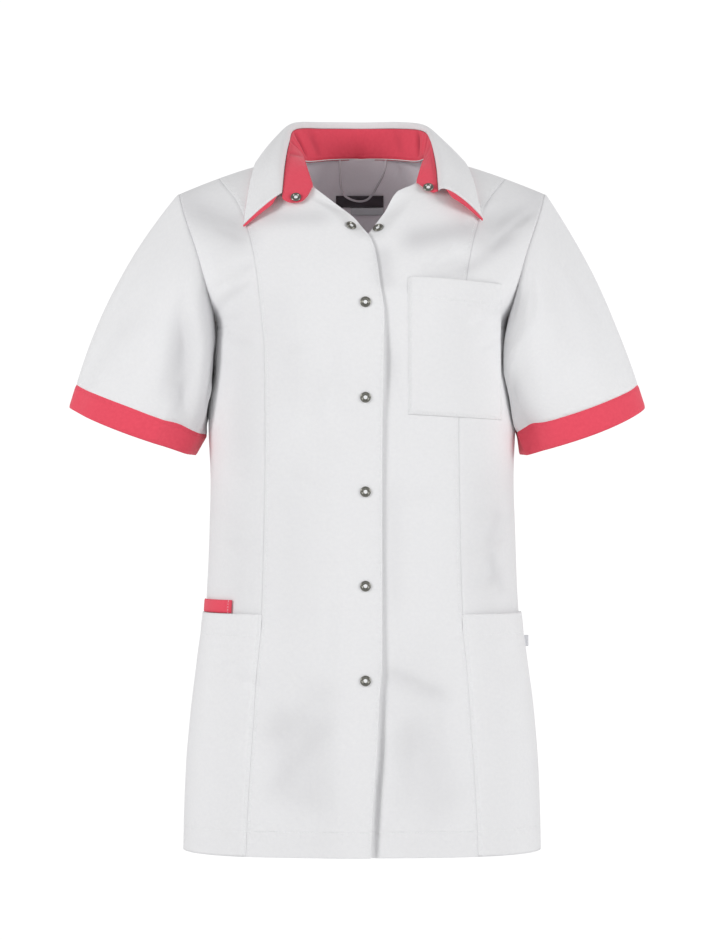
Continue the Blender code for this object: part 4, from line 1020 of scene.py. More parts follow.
# The cuff band's rows, as the share of the way down and the height over its rings. Its lower edge is turned
# up inside
bandRows = [(i / 12, 0.0004 if i else -0.0002) for i in range(12)]
bandRows += [(1.0, 0.0002), (1.0, -0.0003), (1.0, -0.0011), (0.96, -0.0014), (0.5, -0.0014), (0.1, -0.0014)]
band = {"overshoot": 0.2, "press": 0.2, "tuckDepth": 0.0013, "tuckedFrom": (-10, -4), "stitchIn": 0.0020}
sleevePieces = {}
for side, name in ((-1, "right"), (1, "left")):
    around, down = armholeRound(side, sleeve["around"])
    start, edgeNormals = bodyOver(around, down)
    angles = roundAngles(start, len(around) // 2)
    along = np.linspace(0.0, 1.0, sleeve["rings"])[:, None, None] ** sleeve["ringPower"]
    end = cuffRing(side, angles, 0)
    outer = (1.0 + np.cos(angles)) / 2
    aside = sleeve["swellOut"][side] * outer + sleeve["swellIn"][side] * (1.0 - outer)
    aside = aside - 2 * hug(side, angles)
    forward = sleeve["swellFront"] * np.sin(angles) + sleeve["frontPush"] * pushed(angles)
    bulge = (side * aside, -forward, sleeve["swellUp"][side] * np.cos(angles))
    bend = (start + end) / 2 + np.stack(bulge, axis=-1)
    clear = start + unit(bend - start) * sleeve["startGap"]
    clear[:, 0] += side * (sleeve["startGap"] + sleeve["underarmClear"] * (1.0 - outer))
    rows = (1 - along) ** 2 * clear + 2 * along * (1 - along) * bend + along**2 * end
    grow = (sleeve["sideClear"] - sleeve["underarmClear"]) * softStep(along[..., 0] * sleeve["clearGrowth"])
    rows = offBody(side, rows, sleeve["underarmClear"] + grow)
    normals = tubeNormals(rows, side)
    depth = sleeveDepth(side, angles[None, :], along[..., 0])
    distance = runAlong(rows)
    drop = seamDrop(distance) + seamDrop(distance[-1:] - distance)
    free = sleeve["swellShare"] * softStep(distance / sleeve["swellFade"])
    points = rows - normals * (depth + drop - swell(rows) * free)[..., None]
    inward = unit(start.mean(axis=0) - start) * sleeve["tuck"]
    under = start + inward - edgeNormals * sleeve["tuckDepth"]
    under[:, 0] -= side * sleeve["tuckIn"]
    middle = start + inward * sleeve["bendShare"] - edgeNormals * sleeve["bendDepth"]
    points = np.concatenate((under[None], middle[None], points), axis=0)
    distance = np.concatenate((distance[:1], distance[:1], distance), axis=0)
    away = np.abs(distance[-1:] - distance - sleeve["stitchIn"])
    away[:6] = 1.0
    # Painted shade: the sleeve is drawn greyer in its folds, by their depth
    paintedGrey = np.clip(np.concatenate((depth[:2], depth)) / sleeve["deepest"], 0.0, 1.0) * sleeve["paintedShadeShare"]
    title = "Sleeve" + name.title()
    piece = clothPiece(title, points, body["cloth"], whiteTwill, side, closed=True, away=away, paintedShadeShare=paintedGrey)
    sleevePieces["sleeve_" + name] = (piece, points)

    # The cuff band goes on from the sleeve's last ring, and its upper edge is tucked up behind the sleeve
    out, over = np.array(bandRows).T
    last = cuffRing(side, angles, 1)
    steadyShares = np.linspace(-band["overshoot"], 1.0 + band["overshoot"], len(out))
    normals = tubeNormals(rowsBetween(end, last, steadyShares), side)
    pressed = depth[-1][None, :] * (1.0 - band["press"] * out)[:, None]
    bandPoints = rowsBetween(end, last, out) + normals * (over[:, None] - pressed)[..., None]
    used = list(band["tuckedFrom"])
    tucked = points[used] - tubeNormals(points, side)[used] * band["tuckDepth"]
    bandPoints = np.concatenate((tucked, bandPoints), axis=0)
    reach = np.concatenate(((-0.2, -0.1), out))[:, None]
    height = np.linalg.norm(last - end, axis=1)[None, :]
    away = np.abs(np.minimum(reach, 1.0 - reach) * height - band["stitchIn"])
    away[15:] = 1.0
    title = "Cuff" + name.title()
    piece = clothPiece(title, bandPoints, sleeve["bandCloth"], coralTwill, side, closed=True, away=away)
    sleevePieces["cuff_" + name] = (piece, bandPoints)
print("sleeves made")

# Collar

collar = {
    "standClear": 0.0027,
    "fallClear": 0.0044,
    "rollWidth": 0.0060,
    "backHalf": 0.0600,  # as far as this from the centre back the stand follows the neck's edge
    "cloth": 0.0009,
    "spans": 17,
    "rimRight": 0.0076,
    "rimLeft": 0.0105,
    "standRows": 15,
    "fallRows": 40,
    "underRows": 26,
    "underFrom": 0.52,  # the under collar starts at this share of the fall's height, and higher at the ends
    "underHigher": 0.18,
    "underGap": 0.0004,
    "rim": 0.0009,
    "tuck": 0.0017,
    "tuckDown": 0.0040,
    "standStitchHigh": 0.0030,
    "standStitchLow": 0.0022,
    "stitchIn": 0.0028,
    "rounding": 0.0004,
    "roundingWidth": 0.0016,
    "swellShare": 0.7,
    # the wrinkle depth at which the painted shade is fullest
    "deepest": 0.0034,
    "wrinkleLean": 0.05,
    "wrinkleEnds": 0.7,
    "foldAbove": 0.0004,
    "bendAlong": 0.25,
    "bendRoll": 1.5,
    "cornerFrom": 0.7,  # how far round the collar its front corners begin
    "rimStart": 0.25,
    "rimEnd": 0.4,
}
# The collar by side, from the centre back to the front end: where it is sewn on as x and level (none where
# it follows the back neck), the top of the stand, the way the fold rolls from there, and the outer edge of
# the fall as x, level and front 1 or back -1
collarBack = ((0.0000, None), (0.0000, 0.0800, 0.0375), (0.0000, 0.0010, 0.0160), (0.0000, -0.0565, -1))
collarStations = {
    -1: (
        ((0.0380, None), (0.0400, 0.0700, 0.0370), (0.0008, 0.0008, 0.0158), (0.0530, -0.0520, -1)),
        ((0.0600, None), (0.0725, 0.0430, 0.0340), (0.0016, 0.0004, 0.0155), (0.0980, -0.0120, -1)),
        ((0.0635, 0.0000), (0.0790, 0.0040, 0.0165), (0.0028, -0.0010, 0.0125), (0.1130, -0.0006, 1)),
        ((0.0595, -0.0140), (0.0828, -0.0385, -0.0105), (0.0030, -0.0060, 0.0080), (0.1195, -0.0200, 1)),
        ((0.0527, -0.0350), (0.0852, -0.0770, -0.0440), (0.0010, -0.0070, 0.0020), (0.1255, -0.0720, 1)),
    ),
    1: (
        ((0.0380, None), (0.0385, 0.0700, 0.0370), (0.0006, 0.0008, 0.0158), (0.0510, -0.0520, -1)),
        ((0.0600, None), (0.0655, 0.0430, 0.0325), (0.0008, 0.0004, 0.0145), (0.0900, -0.0140, -1)),
        ((0.0680, 0.0000), (0.0742, 0.0040, 0.0190), (0.0012, -0.0010, 0.0085), (0.1080, -0.0006, 1)),
        ((0.0635, -0.0140), (0.0795, -0.0385, -0.0100), (0.0020, -0.0060, 0.0070), (0.1185, -0.0180, 1)),
        ((0.0585, -0.0310), (0.0815, -0.0750, -0.0405), (0.0030, -0.0090, 0.0065), (0.1275, -0.0620, 1)),
    ),
}
# The rounded tab at the front end of the stand: lower and upper edge as x, level and height over the front
standTabs = {
    -1: (
        ((0.0562, -0.0450, 0.0034), (0.0835, -0.0520, 0.0068)),
        ((0.0625, -0.0535, 0.0042), (0.0775, -0.0560, 0.0058)),
    ),
    1: (
        ((0.0610, -0.0350, 0.0034), (0.0800, -0.0440, 0.0066)),
        ((0.0655, -0.0390, 0.0040), (0.0755, -0.0455, 0.0054)),
    ),
}
# Wrinkles of the stand: side, place round the collar from the centre back (0) to the end (1), depth (a ridge
# is negative) and half width
standWrinkles = (
    (-1, 0.40, 0.0034, 0.016),
    (-1, 0.47, -0.0020, 0.016),
    (-1, 0.54, 0.0030, 0.015),
    (-1, 0.28, 0.0014, 0.024),
    (-1, 0.68, 0.0012, 0.022),
    (1, 0.38, 0.0034, 0.016),
    (1, 0.46, -0.0020, 0.016),
    (1, 0.53, 0.0030, 0.015),
    (1, 0.64, 0.0010, 0.024),
    (1, 0.22, 0.0008, 0.026),
)


# The point of the body's surface at that x and level, moved outward
def overAt(x, level, facing, over):
    angle = angleAt(x, level, facing)
    point, _ = bodyOver(np.array([angle]), np.array([level]), over)
    return point[0]


lines = [[], [], [], []]
stationRows = [(-1, row) for row in reversed(collarStations[-1])] + [(1, collarBack)]
stationRows += [(1, row) for row in collarStations[1]]
for side, ((seamX, seamLevel), top, roll, (edgeX, edgeLevel, facing)) in stationRows:
    if seamLevel is None:
        seam = overAt(side * seamX, float(neckBackLevel(seamX)), -1, collar["standClear"])
    else:
        seam = overAt(side * seamX, seamLevel, 1, collar["standClear"])
    edge = overAt(side * edgeX, edgeLevel, facing, collar["fallClear"])
    turn = np.array((side, 1.0, 1.0))
    for line, point in zip(lines, (seam, np.array(top) * turn, np.array(roll) * turn, edge)):
        line.append(point)
seam, top, roll, edge = [smoothLine(line, collar["spans"]) for line in lines]
for i, (x, y, z) in enumerate(seam):
    if y > 0 and abs(x) < collar["backHalf"]:
        seam[i] = overAt(x, float(neckBackLevel(x)), -1, collar["standClear"])
place = np.linspace(-1.0, 1.0, len(seam))

# The stand's ends are rounded tabs
tab = {"spans": 8, "from": 6, "reach": 0.25, "narrow": 0.04}
tabs = {}
for side, end, before in ((-1, 0, tab["from"]), (1, -1, -1 - tab["from"])):
    found = []
    for line, at in ((seam, 0), (top, 1)):
        ways = [overAt(side * row[at][0], row[at][1], 1, row[at][2]) for row in standTabs[side]]
        found.append([line[before], line[end], *ways])
    low, high = found
    outer = (low[-1] + high[-1]) / 2
    tip = outer + (outer - (low[-2] + high[-2]) / 2) * tab["reach"]
    narrow = (high[-1] - low[-1]) * tab["narrow"]
    ways = ([*low, tip - narrow], [*high, tip + narrow])
    tabs[side] = [smoothLine(way, tab["spans"])[tab["spans"] + 1 :] for way in ways]
lower = np.concatenate((tabs[-1][0][::-1], seam, tabs[1][0]))
upper = np.concatenate((tabs[-1][1][::-1], top, tabs[1][1]))
tabColumns = len(tabs[1][0])
placeWide = np.concatenate((np.full(tabColumns, -1.0), place, np.full(tabColumns, 1.0)))
shares = np.linspace(0.0, 1.0, collar["standRows"])
stand = rowsBetween(upper, lower, shares)
standNormals = gridNormals(stand)
wrinkle = np.zeros(stand.shape[:2])
for side, at, most, halfWidth in standWrinkles:
    lean = (shares[:, None] - 0.5) * collar["wrinkleLean"] * side
    run = (placeWide[None, :] * side - at - lean) / halfWidth
    wrinkle += most * np.exp(-(run**2)) * np.sin(shares[:, None] * math.pi) ** collar["wrinkleEnds"]
stand = stand - standNormals * wrinkle[..., None]
foot = stand[-1:].copy()
held = slice(tabColumns, -tabColumns)
foot[0, held] -= standNormals[-1, held] * collar["tuck"] + np.array((0.0, 0.0, collar["tuckDown"]))
stand = np.concatenate((stand, foot), axis=0)
span = np.linalg.norm(upper - lower, axis=1)[None, :]
rowShare = np.concatenate((shares, (1.0,)))[:, None]
fromLow = np.abs((1.0 - rowShare) * span - collar["standStitchLow"])
away = np.minimum(fromLow, np.abs(rowShare * span - collar["standStitchHigh"]))
away[:, :3] = 1.0
away[:, -3:] = 1.0
# Painted shade: the stand is drawn darker in its wrinkles, by their depth
paintedGrey = np.clip(np.concatenate((wrinkle, wrinkle[-1:])) / collar["deepest"], 0.0, 1.0)
standPiece = clothPiece("CollarStand", stand, collar["cloth"], coralTwill, away=away, paintedShadeShare=paintedGrey)

# The fall rolls over the top of the stand and comes down to its edge
rise = unit(top - seam)
start = top + rise * collar["foldAbove"]
outward = unit(edge - top)
bend = start + (edge - start) * collar["bendAlong"] + roll * collar["bendRoll"]
bend = bend + outward * collar["rollWidth"]


# Points of the fall at shares of the way from the top of the stand to its edge
def fallCurve(share):
    t = share[..., None]
    made = (1 - t) ** 3 * start + 3 * t * (1 - t) ** 2 * (start + roll)
    return made + 3 * t**2 * (1 - t) * bend + t**3 * edge


curve = fallCurve(np.linspace(0.0, 1.0, collar["fallRows"])[:, None])
fallNormals = -gridNormals(curve)
fall = curve + fallNormals * (swell(curve) * collar["swellShare"])[..., None]
fromEdge = runAlong(fall)[-1:] - runAlong(fall)
fromEnd = np.minimum(acrossFrom(fall), acrossFrom(fall, last=True))
inset = np.minimum(fromEdge, fromEnd)
away = np.abs(inset - collar["stitchIn"])
rounding = collar["rounding"] * (1.0 - softStep(inset / collar["roundingWidth"]))
fall = fall - fallNormals * rounding[..., None]
fallPiece = clothPiece("CollarFall", fall, collar["cloth"], whiteTwill, -1, away=away)

# The under collar lies behind the fall. Its rim shows below the fall's edge, and its two ends show beside
# the fall's, more on the wearer's left
corner = softStep((np.abs(place) - collar["cornerFrom"]) / (1.0 - collar["cornerFrom"]))
upperShare = collar["underFrom"] - collar["underHigher"] * corner
under = fallCurve(upperShare + (1.0 - upperShare) * np.linspace(0.0, 1.0, collar["underRows"])[:, None])
under = under + gridNormals(under) * (collar["cloth"] + collar["underGap"])
reach = unit(curve[-1:] - curve[-2:-1])
under = np.concatenate((under, under[-1:] + reach * collar["rim"]), axis=0)
share = np.linspace(0.0, 1.0, len(under))[:, None]
ends = {}
for end, before, rim in ((0, 1, collar["rimRight"]), (-1, -2, collar["rimLeft"])):
    wide = rim * softStep(share / collar["rimStart"]) * (1.0 - share) ** collar["rimEnd"]
    aside = unit(under[:, end] - under[:, before]) * wide
    ends[end] = np.stack([under[:, end] + aside * part for part in (0.25, 0.5, 0.75, 1.0)], axis=1)
under = np.concatenate((ends[0][:, ::-1], under, ends[-1]), axis=1)
underPiece = clothPiece("UnderCollar", under, collar["cloth"], coralTwill, -1)
collarPieces = {
    "collar_stand": (standPiece, stand),
    "collar_fall": (fallPiece, fall),
    "collar_under": (underPiece, under),
}
print("collar made")

# Pockets

pockets = {
    "clear": 0.0014,
    "cloth": 0.0009,
    "chestInner": 0.0488,
    "chestOuter": 0.1495,
    "chestTop": -0.1355,
    "chestBottom": -0.2815,
    "chestTilt": -0.0055,
    "chestRows": 74,
    "chestColumns": 54,
    "sideTop": -0.4945,
    "sideEnd": math.radians(89.4),
    "sideRows": 104,
    "sideColumns": 52,
    "seamGap": 0.0004,
    "backGap": 0.0026,
    "mouthBulge": 0.0034,
    "mouthHem": 0.0220,
    "mouthRise": 0.0005,
    "chestOpen": 1.9,  # how fast the bulge dies out below the mouth
    "sideOpen": 1.4,
    "lip": (0.0011, -0.0006),  # inward and upward from the mouth's edge
    "fold": (0.0005, 0.0004),
    "stitchIn": 0.0024,
    "pressed": 0.0020,  # the sewn edges lie this much lower than the rest
    "pressedWidth": 0.0065,
}


# The points of a patch on the body and their distances from its stitches. Its mouth is turned in, and the
# edges in use, which are its first, its last and its foot, round off
def patchPiece(angles, at, openBy, edges):
    points, normals = bodyOver(angles, at)
    fromMouth = runAlong(points)
    distances = (acrossFrom(points), acrossFrom(points, last=True), fromMouth[-1:] - fromMouth)
    held = np.ones(points.shape[:2])
    for used, distance in zip(edges, distances):
        if used:
            held = np.minimum(held, distance)
    rounding = pockets["pressed"] * (1.0 - softStep(held / pockets["pressedWidth"])) ** 1.5
    mouthHem = pockets["mouthHem"]
    mouthTurn = (pockets["lip"], pockets["fold"])
    thicker = pockets["mouthRise"] * (1.0 - softStep(np.abs(fromMouth - mouthHem / 2) / (mouthHem * 0.55)))
    lift = pockets["clear"] + pockets["cloth"] + openBy - rounding + thicker
    made = points + normals * lift[..., None]
    away = np.minimum(np.abs(held - pockets["stitchIn"]), np.abs(fromMouth - mouthHem))
    turned = [made[:1] - normals[:1] * inward + np.array((0.0, 0.0, up)) for inward, up in mouthTurn]
    made = np.concatenate((*turned, made), axis=0)
    away = np.concatenate((np.ones((2, away.shape[1])), away), axis=0)
    return made, away


rows = np.linspace(0.0, 1.0, pockets["chestRows"])[:, None]
shares = columnShares(pockets["chestColumns"])[None, :]
at = pockets["chestTop"] + (pockets["chestBottom"] - pockets["chestTop"]) * rows
at = at + pockets["chestTilt"] * shares
angles = angleAt(pockets["chestInner"] + (pockets["chestOuter"] - pockets["chestInner"]) * shares, at)
openBy = pockets["mouthBulge"] / 2 * np.sin(math.pi * shares) * (1.0 - softStep(rows * pockets["chestOpen"]))
points, away = patchPiece(angles, at, openBy, (True, True, True))
chestPocket = clothPiece("ChestPocket", points, pockets["cloth"], whiteTwill, away=away)
pocketPieces = {"chest_pocket": (chestPocket, points)}

rows = np.linspace(0.0, 1.0, pockets["sideRows"])[:, None]
shares = columnShares(pockets["sideColumns"])[None, :]
at = np.linspace(pockets["sideTop"], -body["length"] + 0.0004, pockets["sideRows"])[:, None]
first = angleAt(princessAt(at), at) + pockets["seamGap"]
last = np.minimum(pockets["sideEnd"], sideEnd(at) - pockets["backGap"])
openBy = pockets["mouthBulge"] * np.sin(math.pi * shares) * (1.0 - softStep(rows * pockets["sideOpen"]))
for side, name in ((-1, "right"), (1, "left")):
    angles = side * (first + (last - first) * shares)
    points, away = patchPiece(angles, at + np.zeros(angles.shape), openBy, (True, True, False))
    away = np.minimum(away, awayFromHem(points))
    piece = clothPiece("SidePocket" + name.title(), points, pockets["cloth"], whiteTwill, side, away=away)
    pocketPieces["side_pocket_" + name] = (piece, points)

# The coral loop lies over the mouth of the right side pocket, folded of doubled cloth
loopTab = {
    "inner": 50.0,
    "outer": 80.0,
    "top": -0.4795,
    "bottom": -0.4938,
    "thick": 0.0018,
    "rows": 13,
    "columns": 30,
    "rounding": 0.0006,
    "stitchColumn": 26.0,
    "columnWidth": 0.0017,
}
loopLevels = np.linspace(loopTab["top"], loopTab["bottom"], loopTab["rows"])[:, None]
loopAngles = -np.radians(np.linspace(loopTab["outer"], loopTab["inner"], loopTab["columns"]))[None, :]
points, normals = bodyOver(loopAngles, loopLevels + np.zeros(loopAngles.shape))
rowPlace = np.arange(loopTab["rows"])
edgeRound = np.minimum(rowPlace, rowPlace[::-1])[:, None]
lift = pockets["clear"] + loopTab["thick"] - loopTab["rounding"] * np.exp(-edgeRound / 0.8)
points = points + normals * lift[..., None]
stitchAway = np.abs(np.arange(loopTab["columns"]) - loopTab["stitchColumn"]) * loopTab["columnWidth"]
away = np.broadcast_to(stitchAway, points.shape[:2])
pocketLoop = clothPiece("PocketLoop", points, loopTab["thick"], coralTwill, away=away)
pocketPieces["pocket_loop"] = (pocketLoop, points)
print("pockets made")

# Labels and hanger tape, all blank

labels = {
    "neck": (-0.0290, 0.0240, -0.0800, -0.0895),  # from x to x, and from level to level
    "size": (-0.0120, 0.0240, -0.0900, -0.0955),
    "rows": 9,
    "columns": 34,
    "bow": 0.0006,
    "wall": 0.0012,
    "thick": 0.0007,
    "clear": 0.0007,
    "sideZ": -0.526,
    "sideHeight": 0.012,
    "sideReach": 0.0065,
    "sideThick": 0.0003,
    "sideRoot": 0.0008,
}
# The hanger tape hangs in a loop inside the back neck, slightly twisted and bowed
tape = {
    "width": 0.0024,
    "thick": 0.0008,
    "y": 0.0655,
    "spans": 8,
    "twist": 0.0009,
    "turns": 1.1,
    "bow": 0.0003,
}
tapePath = (
    (-0.0245, 0.0020),
    (-0.0240, -0.0130),
    (-0.0232, -0.0260),
    (-0.0205, -0.0350),
    (-0.0140, -0.0405),
    (-0.0040, -0.0435),
    (0.0050, -0.0420),
    (0.0115, -0.0360),
    (0.0170, -0.0265),
    (0.0225, -0.0160),
    (0.0258, -0.0060),
    (0.0265, 0.0020),
)
smallPieces = {}
for node, material in (("neck", darkSatin), ("size", paleSatin)):
    left, right, high, low = labels[node]
    at = np.linspace(high, low, labels["rows"])[:, None]
    angles = angleAt(np.linspace(left, right, labels["columns"])[None, :], at, -1)
    angles = np.where(angles < 0, angles + 2 * math.pi, angles)
    points, normals = bodyOver(angles, at + np.zeros(angles.shape))
    bow = labels["bow"] * np.sin(np.linspace(0, math.pi, labels["columns"]))[None, :]
    points = points - normals * (labels["wall"] + labels["clear"] + labels["thick"] + bow)[..., None]
    piece = clothPiece(titleOf(node + "_label"), points, labels["thick"], material)
    smallPieces[node + "_label"] = (piece, points)

# A folded ribbon that sticks out of the side seam
across = np.linspace(0.0, 1.0, labels["rows"])
root = float(bodyPoint(math.pi / 2, labels["sideZ"])[0]) + labels["sideRoot"]
out = np.concatenate((across, across[::-1]))
offset = np.array([0.0005] * 8 + [0.0008, 0.0013] + [0.0016] * 8)
heights = np.linspace(0.5, -0.5, labels["rows"]) * labels["sideHeight"]
points = np.empty((labels["rows"], len(out), 3))
points[..., 0] = root + out[None, :] * labels["sideReach"]
wave = np.sin(out * 2.0)[None, :] * np.cos(heights * 200)[:, None]
points[..., 1] = offset[None, :] + labels["bow"] * wave
points[..., 2] = labels["sideZ"] + heights[:, None]
smallPieces["side_label"] = (clothPiece("SideLabel", points, labels["sideThick"], paleSatin), points)

path = smoothLine([(x, tape["y"], z) for x, z in tapePath], tape["spans"])
across = np.cross(unit(np.gradient(path, axis=0)), (0.0, 1.0, 0.0))
twist = tape["twist"] * np.sin(np.linspace(0, tape["turns"] * 2 * math.pi, len(path)))
widths = np.linspace(-1.0, 1.0, 5)
points = path[:, None] + across[:, None] * widths[None, :, None] * tape["width"] / 2
points[..., 1] += twist[:, None] * widths[None, :] - tape["bow"] * (1 - widths**2)[None, :]
smallPieces["hanger_loop"] = (clothPiece("HangerLoop", points, tape["thick"], paintedShadeTape), points)
print("labels and hanger tape made")

# Snaps

snaps = {
    "first": -0.1625,
    "spacing": 0.1004,
    "count": 5,
    "x": 0.0037,
    "clear": 0.0003,
    "neckClear": 0.0012,
    "segments": 40,
    "neckSnap": (-0.0119, -0.0800),
    "neckStud": (0.0176, -0.0796),
    "standColumn": 13,
    "standRow": 7,
    "standClear": 0.0006,
    "clothRadius": 0.0020,  # cloth shows in the middle of the ring
}
# Radius and height of a ring cap, from the middle of its foot over its rim to the middle of its face: a
# rolled ring round a sunk floor of cloth
ringProfile = (
    (0.0000, 0.0000),
    (0.0054, 0.0000),
    (0.0057, 0.0003),
    (0.0057, 0.0008),
    (0.0054, 0.0012),
    (0.0049, 0.0015),
    (0.0044, 0.00158),
    (0.0039, 0.0015),
    (0.0035, 0.0012),
    (0.0032, 0.0008),
    (0.0029, 0.0005),
    (0.0024, 0.00045),
    (0.0021, 0.0007),
    (0.0017, 0.0010),
    (0.0012, 0.00115),
    (0.0006, 0.00122),
    (0.0, 0.00124),
)


# A cap at that place, with its back to the cloth
def ringCap(name, place, normal):
    mesh = bmesh.new()
    profile = [mesh.verts.new((radius, 0.0, height)) for radius, height in ringProfile]
    edges = [mesh.edges.new(pair) for pair in zip(profile, profile[1:])]
    bmesh.ops.spin(
        mesh,
        geom=profile + edges,
        cent=(0.0, 0.0, 0.0),
        axis=(0.0, 0.0, 1.0),
        angle=2 * math.pi,
        steps=snaps["segments"],
        use_merge=True,
    )
    bmesh.ops.remove_doubles(mesh, verts=mesh.verts, dist=0.00002)
    bmesh.ops.recalc_face_normals(mesh, faces=mesh.faces)
    turn = Vector((0.0, 0.0, 1.0)).rotation_difference(Vector(normal)).to_matrix().to_4x4()
    bmesh.ops.transform(mesh, matrix=Matrix.Translation(Vector(place)) @ turn, verts=mesh.verts)
    for face in mesh.faces:
        face.smooth = True
    data = bpy.data.meshes.new(name)
    mesh.to_mesh(data)
    mesh.free()
    data.materials.append(nickelSteel)
    data.materials.append(whiteThread)
    for polygon in data.polygons:
        offset = polygon.center - Vector(place)
        if (offset - Vector(normal) * offset.dot(Vector(normal))).length < snaps["clothRadius"]:
            polygon.material_index = 1
    return placed(name, data)


# The point of a centre front's face at that x and level
def frontPoint(side, x, level):
    angle = angleAt(x, level)
    point, _ = bodyOver(np.array([angle]), np.array([level]), frontRise(side, x, level))
    return point[0]


# A cap on a centre front, square to the cloth there
def frontCap(name, side, x, level, clear):
    reach = ringProfile[1][0]
    across = frontPoint(side, x + reach, level) - frontPoint(side, x - reach, level)
    up = frontPoint(side, x, level + reach) - frontPoint(side, x, level - reach)
    normal = unit(np.cross(across, up))
    return ringCap(name, frontPoint(side, x, level) + normal * clear, normal)


capPieces = {}
for i in range(snaps["count"]):
    level = snaps["first"] - snaps["spacing"] * i
    capPieces[f"snap_{i + 1}"] = frontCap(f"Snap{i + 1}", -1, snaps["x"], level, snaps["clear"])
capPieces["neck_snap"] = frontCap("NeckSnap", -1, *snaps["neckSnap"], snaps["neckClear"])
capPieces["neck_stud"] = frontCap("NeckStud", 1, *snaps["neckStud"], snaps["neckClear"])
for node, end in (("stand_snap", snaps["standColumn"]), ("stand_stud", -1 - snaps["standColumn"])):
    normal = standNormals[snaps["standRow"]][end]
    place = stand[snaps["standRow"]][end] + normal * snaps["standClear"]
    capPieces[node] = ringCap(titleOf(node), place, normal)
print("snaps made")

# Stitches

stitch = {
    "pitch": 0.0031,
    "halfLength": 0.00115,
    "halfWidth": 0.00024,
    "halfHeight": 0.00020,
    "above": 0.00006,
    "fromSeam": 0.0030,
    "fromEdge": 0.0022,
    "fromCollarEdge": 0.0028,
    "fromFold": 0.0016,
    "loopIn": 0.0040,
    "placketTop": -0.088,
    "segments": 6,
    "rings": 4,
}


# A grid's points with the directions in which its face looks
def withNormals(points, outwards, closed=False):
    normals = tubeNormals(points, 1) if closed else gridNormals(points)
    if np.sum(normals * outwards) < 0:
        normals = -normals
    return np.concatenate((points, normals), axis=-1)


# Where each row of a grid is that far from its first or last column
def lineAt(grid, distance, last=False):
    made = []
    for row in grid:
        run = runAlong(row[:, :3])
        at = run[-1] - distance if last else distance
        made.append([np.interp(at, run, row[:, k]) for k in range(6)])
    return np.array(made)


# Where each column of a grid comes down to that level for the first time
def levelLine(grid, level):
    made = []
    for column in np.swapaxes(grid, 0, 1):
        lowest = int(np.argmin(column[:, 2])) + 1
        made.append([np.interp(-level, -column[:lowest, 2], column[:lowest, k]) for k in range(6)])
    return np.array(made)


# One stitch, a rounded spindle that lies along Z
mesh = bmesh.new()
bmesh.ops.create_uvsphere(mesh, u_segments=stitch["segments"], v_segments=stitch["rings"], radius=1.0)
bmesh.ops.recalc_face_normals(mesh, faces=mesh.faces)
mesh.verts.index_update()
spindlePoints = np.array([tuple(vert.co) for vert in mesh.verts])
spindleFaces = [[vert.index for vert in face.verts] for face in mesh.faces]
mesh.free()


# One piece of separate stitches along some lines
def stitchPiece(name, found, material):
    points, faces = [], []
    sizes = np.array((stitch["halfWidth"], stitch["halfHeight"], stitch["halfLength"]))
    for line in found:
        run = runAlong(line[:, :3])
        for at in np.arange(stitch["pitch"] / 2, run[-1], stitch["pitch"]):
            here = np.array([np.interp(at, run, line[:, k]) for k in range(6)])
            ahead = np.array([np.interp(at + 0.0004, run, line[:, k]) for k in range(3)])
            along = unit(ahead - here[:3])
            up = unit(here[3:] - along * np.dot(here[3:], along))
            axes = np.stack((np.cross(up, along), up, along))
            faces += [[i + len(points) * len(spindlePoints) for i in face] for face in spindleFaces]
            points.append(spindlePoints * sizes @ axes + here[:3] + up * stitch["above"])
    data = bpy.data.meshes.new(name)
    data.from_pydata(np.concatenate(points).tolist(), [], faces)
    data.polygons.foreach_set("use_smooth", [True] * len(data.polygons))
    data.materials.append(material)
    return placed(name, data)


# The directions of points outward from an upright line
def fromAxis(points, middle=(0.0, 0.0, 0.0)):
    away = points - np.asarray(middle)
    away[..., 2] = 0.0
    return away


def outwardGrid(points):
    return withNormals(points, fromAxis(points))


stitchLines = {}
for side, name in ((-1, "right"), (1, "left")):
    grid = outwardGrid(bodyPieces["front_" + name + "_centre"][1])
    outer = grid[: -panel["turnedRows"]]
    found = [levelLine(grid, hemStitchLevel), lineAt(outer, stitch["fromSeam"], last=True)]
    if side < 0:
        placket = lineAt(outer, stitch["fromEdge"])
        found.append(placket[placket[:, 2] < stitch["placketTop"]])
    stitchLines["front_" + name + "_centre"] = found
    upper = outwardGrid(bodyPieces["front_" + name + "_side"][1][:, 2:])[: panel["upperRows"]]
    stitchLines["front_" + name + "_side"] = [lineAt(upper, stitch["fromSeam"], last=True)]
stitchLines["back"] = [levelLine(outwardGrid(bodyPieces["back"][1][:, 2:-2]), hemStitchLevel)]
for node in ("side_pocket_right", "side_pocket_left", "chest_pocket"):
    grid = outwardGrid(pocketPieces[node][1][2:])
    turned = np.swapaxes(grid, 0, 1)
    inset = pockets["stitchIn"]
    foot = lineAt(turned, inset, last=True) if node == "chest_pocket" else levelLine(grid, hemStitchLevel)
    sides = [lineAt(grid, inset), lineAt(grid, inset, last=True)]
    stitchLines[node] = [*sides, lineAt(turned, pockets["mouthHem"]), foot]
for name in ("right", "left"):
    for node, keep in (("cuff_" + name, slice(2, 14)), ("sleeve_" + name, slice(8, None))):
        points = sleevePieces[node][1][keep]
        grid = withNormals(points, fromAxis(points, points.reshape(-1, 3).mean(axis=0)), closed=True)
        turned = np.swapaxes(np.concatenate((grid, grid[:, :1]), axis=1), 0, 1)
        stitchLines[node] = [lineAt(turned, stitch["fromEdge"], last=True)]
        if node.startswith("cuff"):
            stitchLines[node].append(lineAt(turned, stitch["fromEdge"]))
grid = withNormals(fall, fromAxis(fall, (0.0, 0.02, 0.0)))
turned = np.swapaxes(grid, 0, 1)
inset = stitch["fromCollarEdge"]
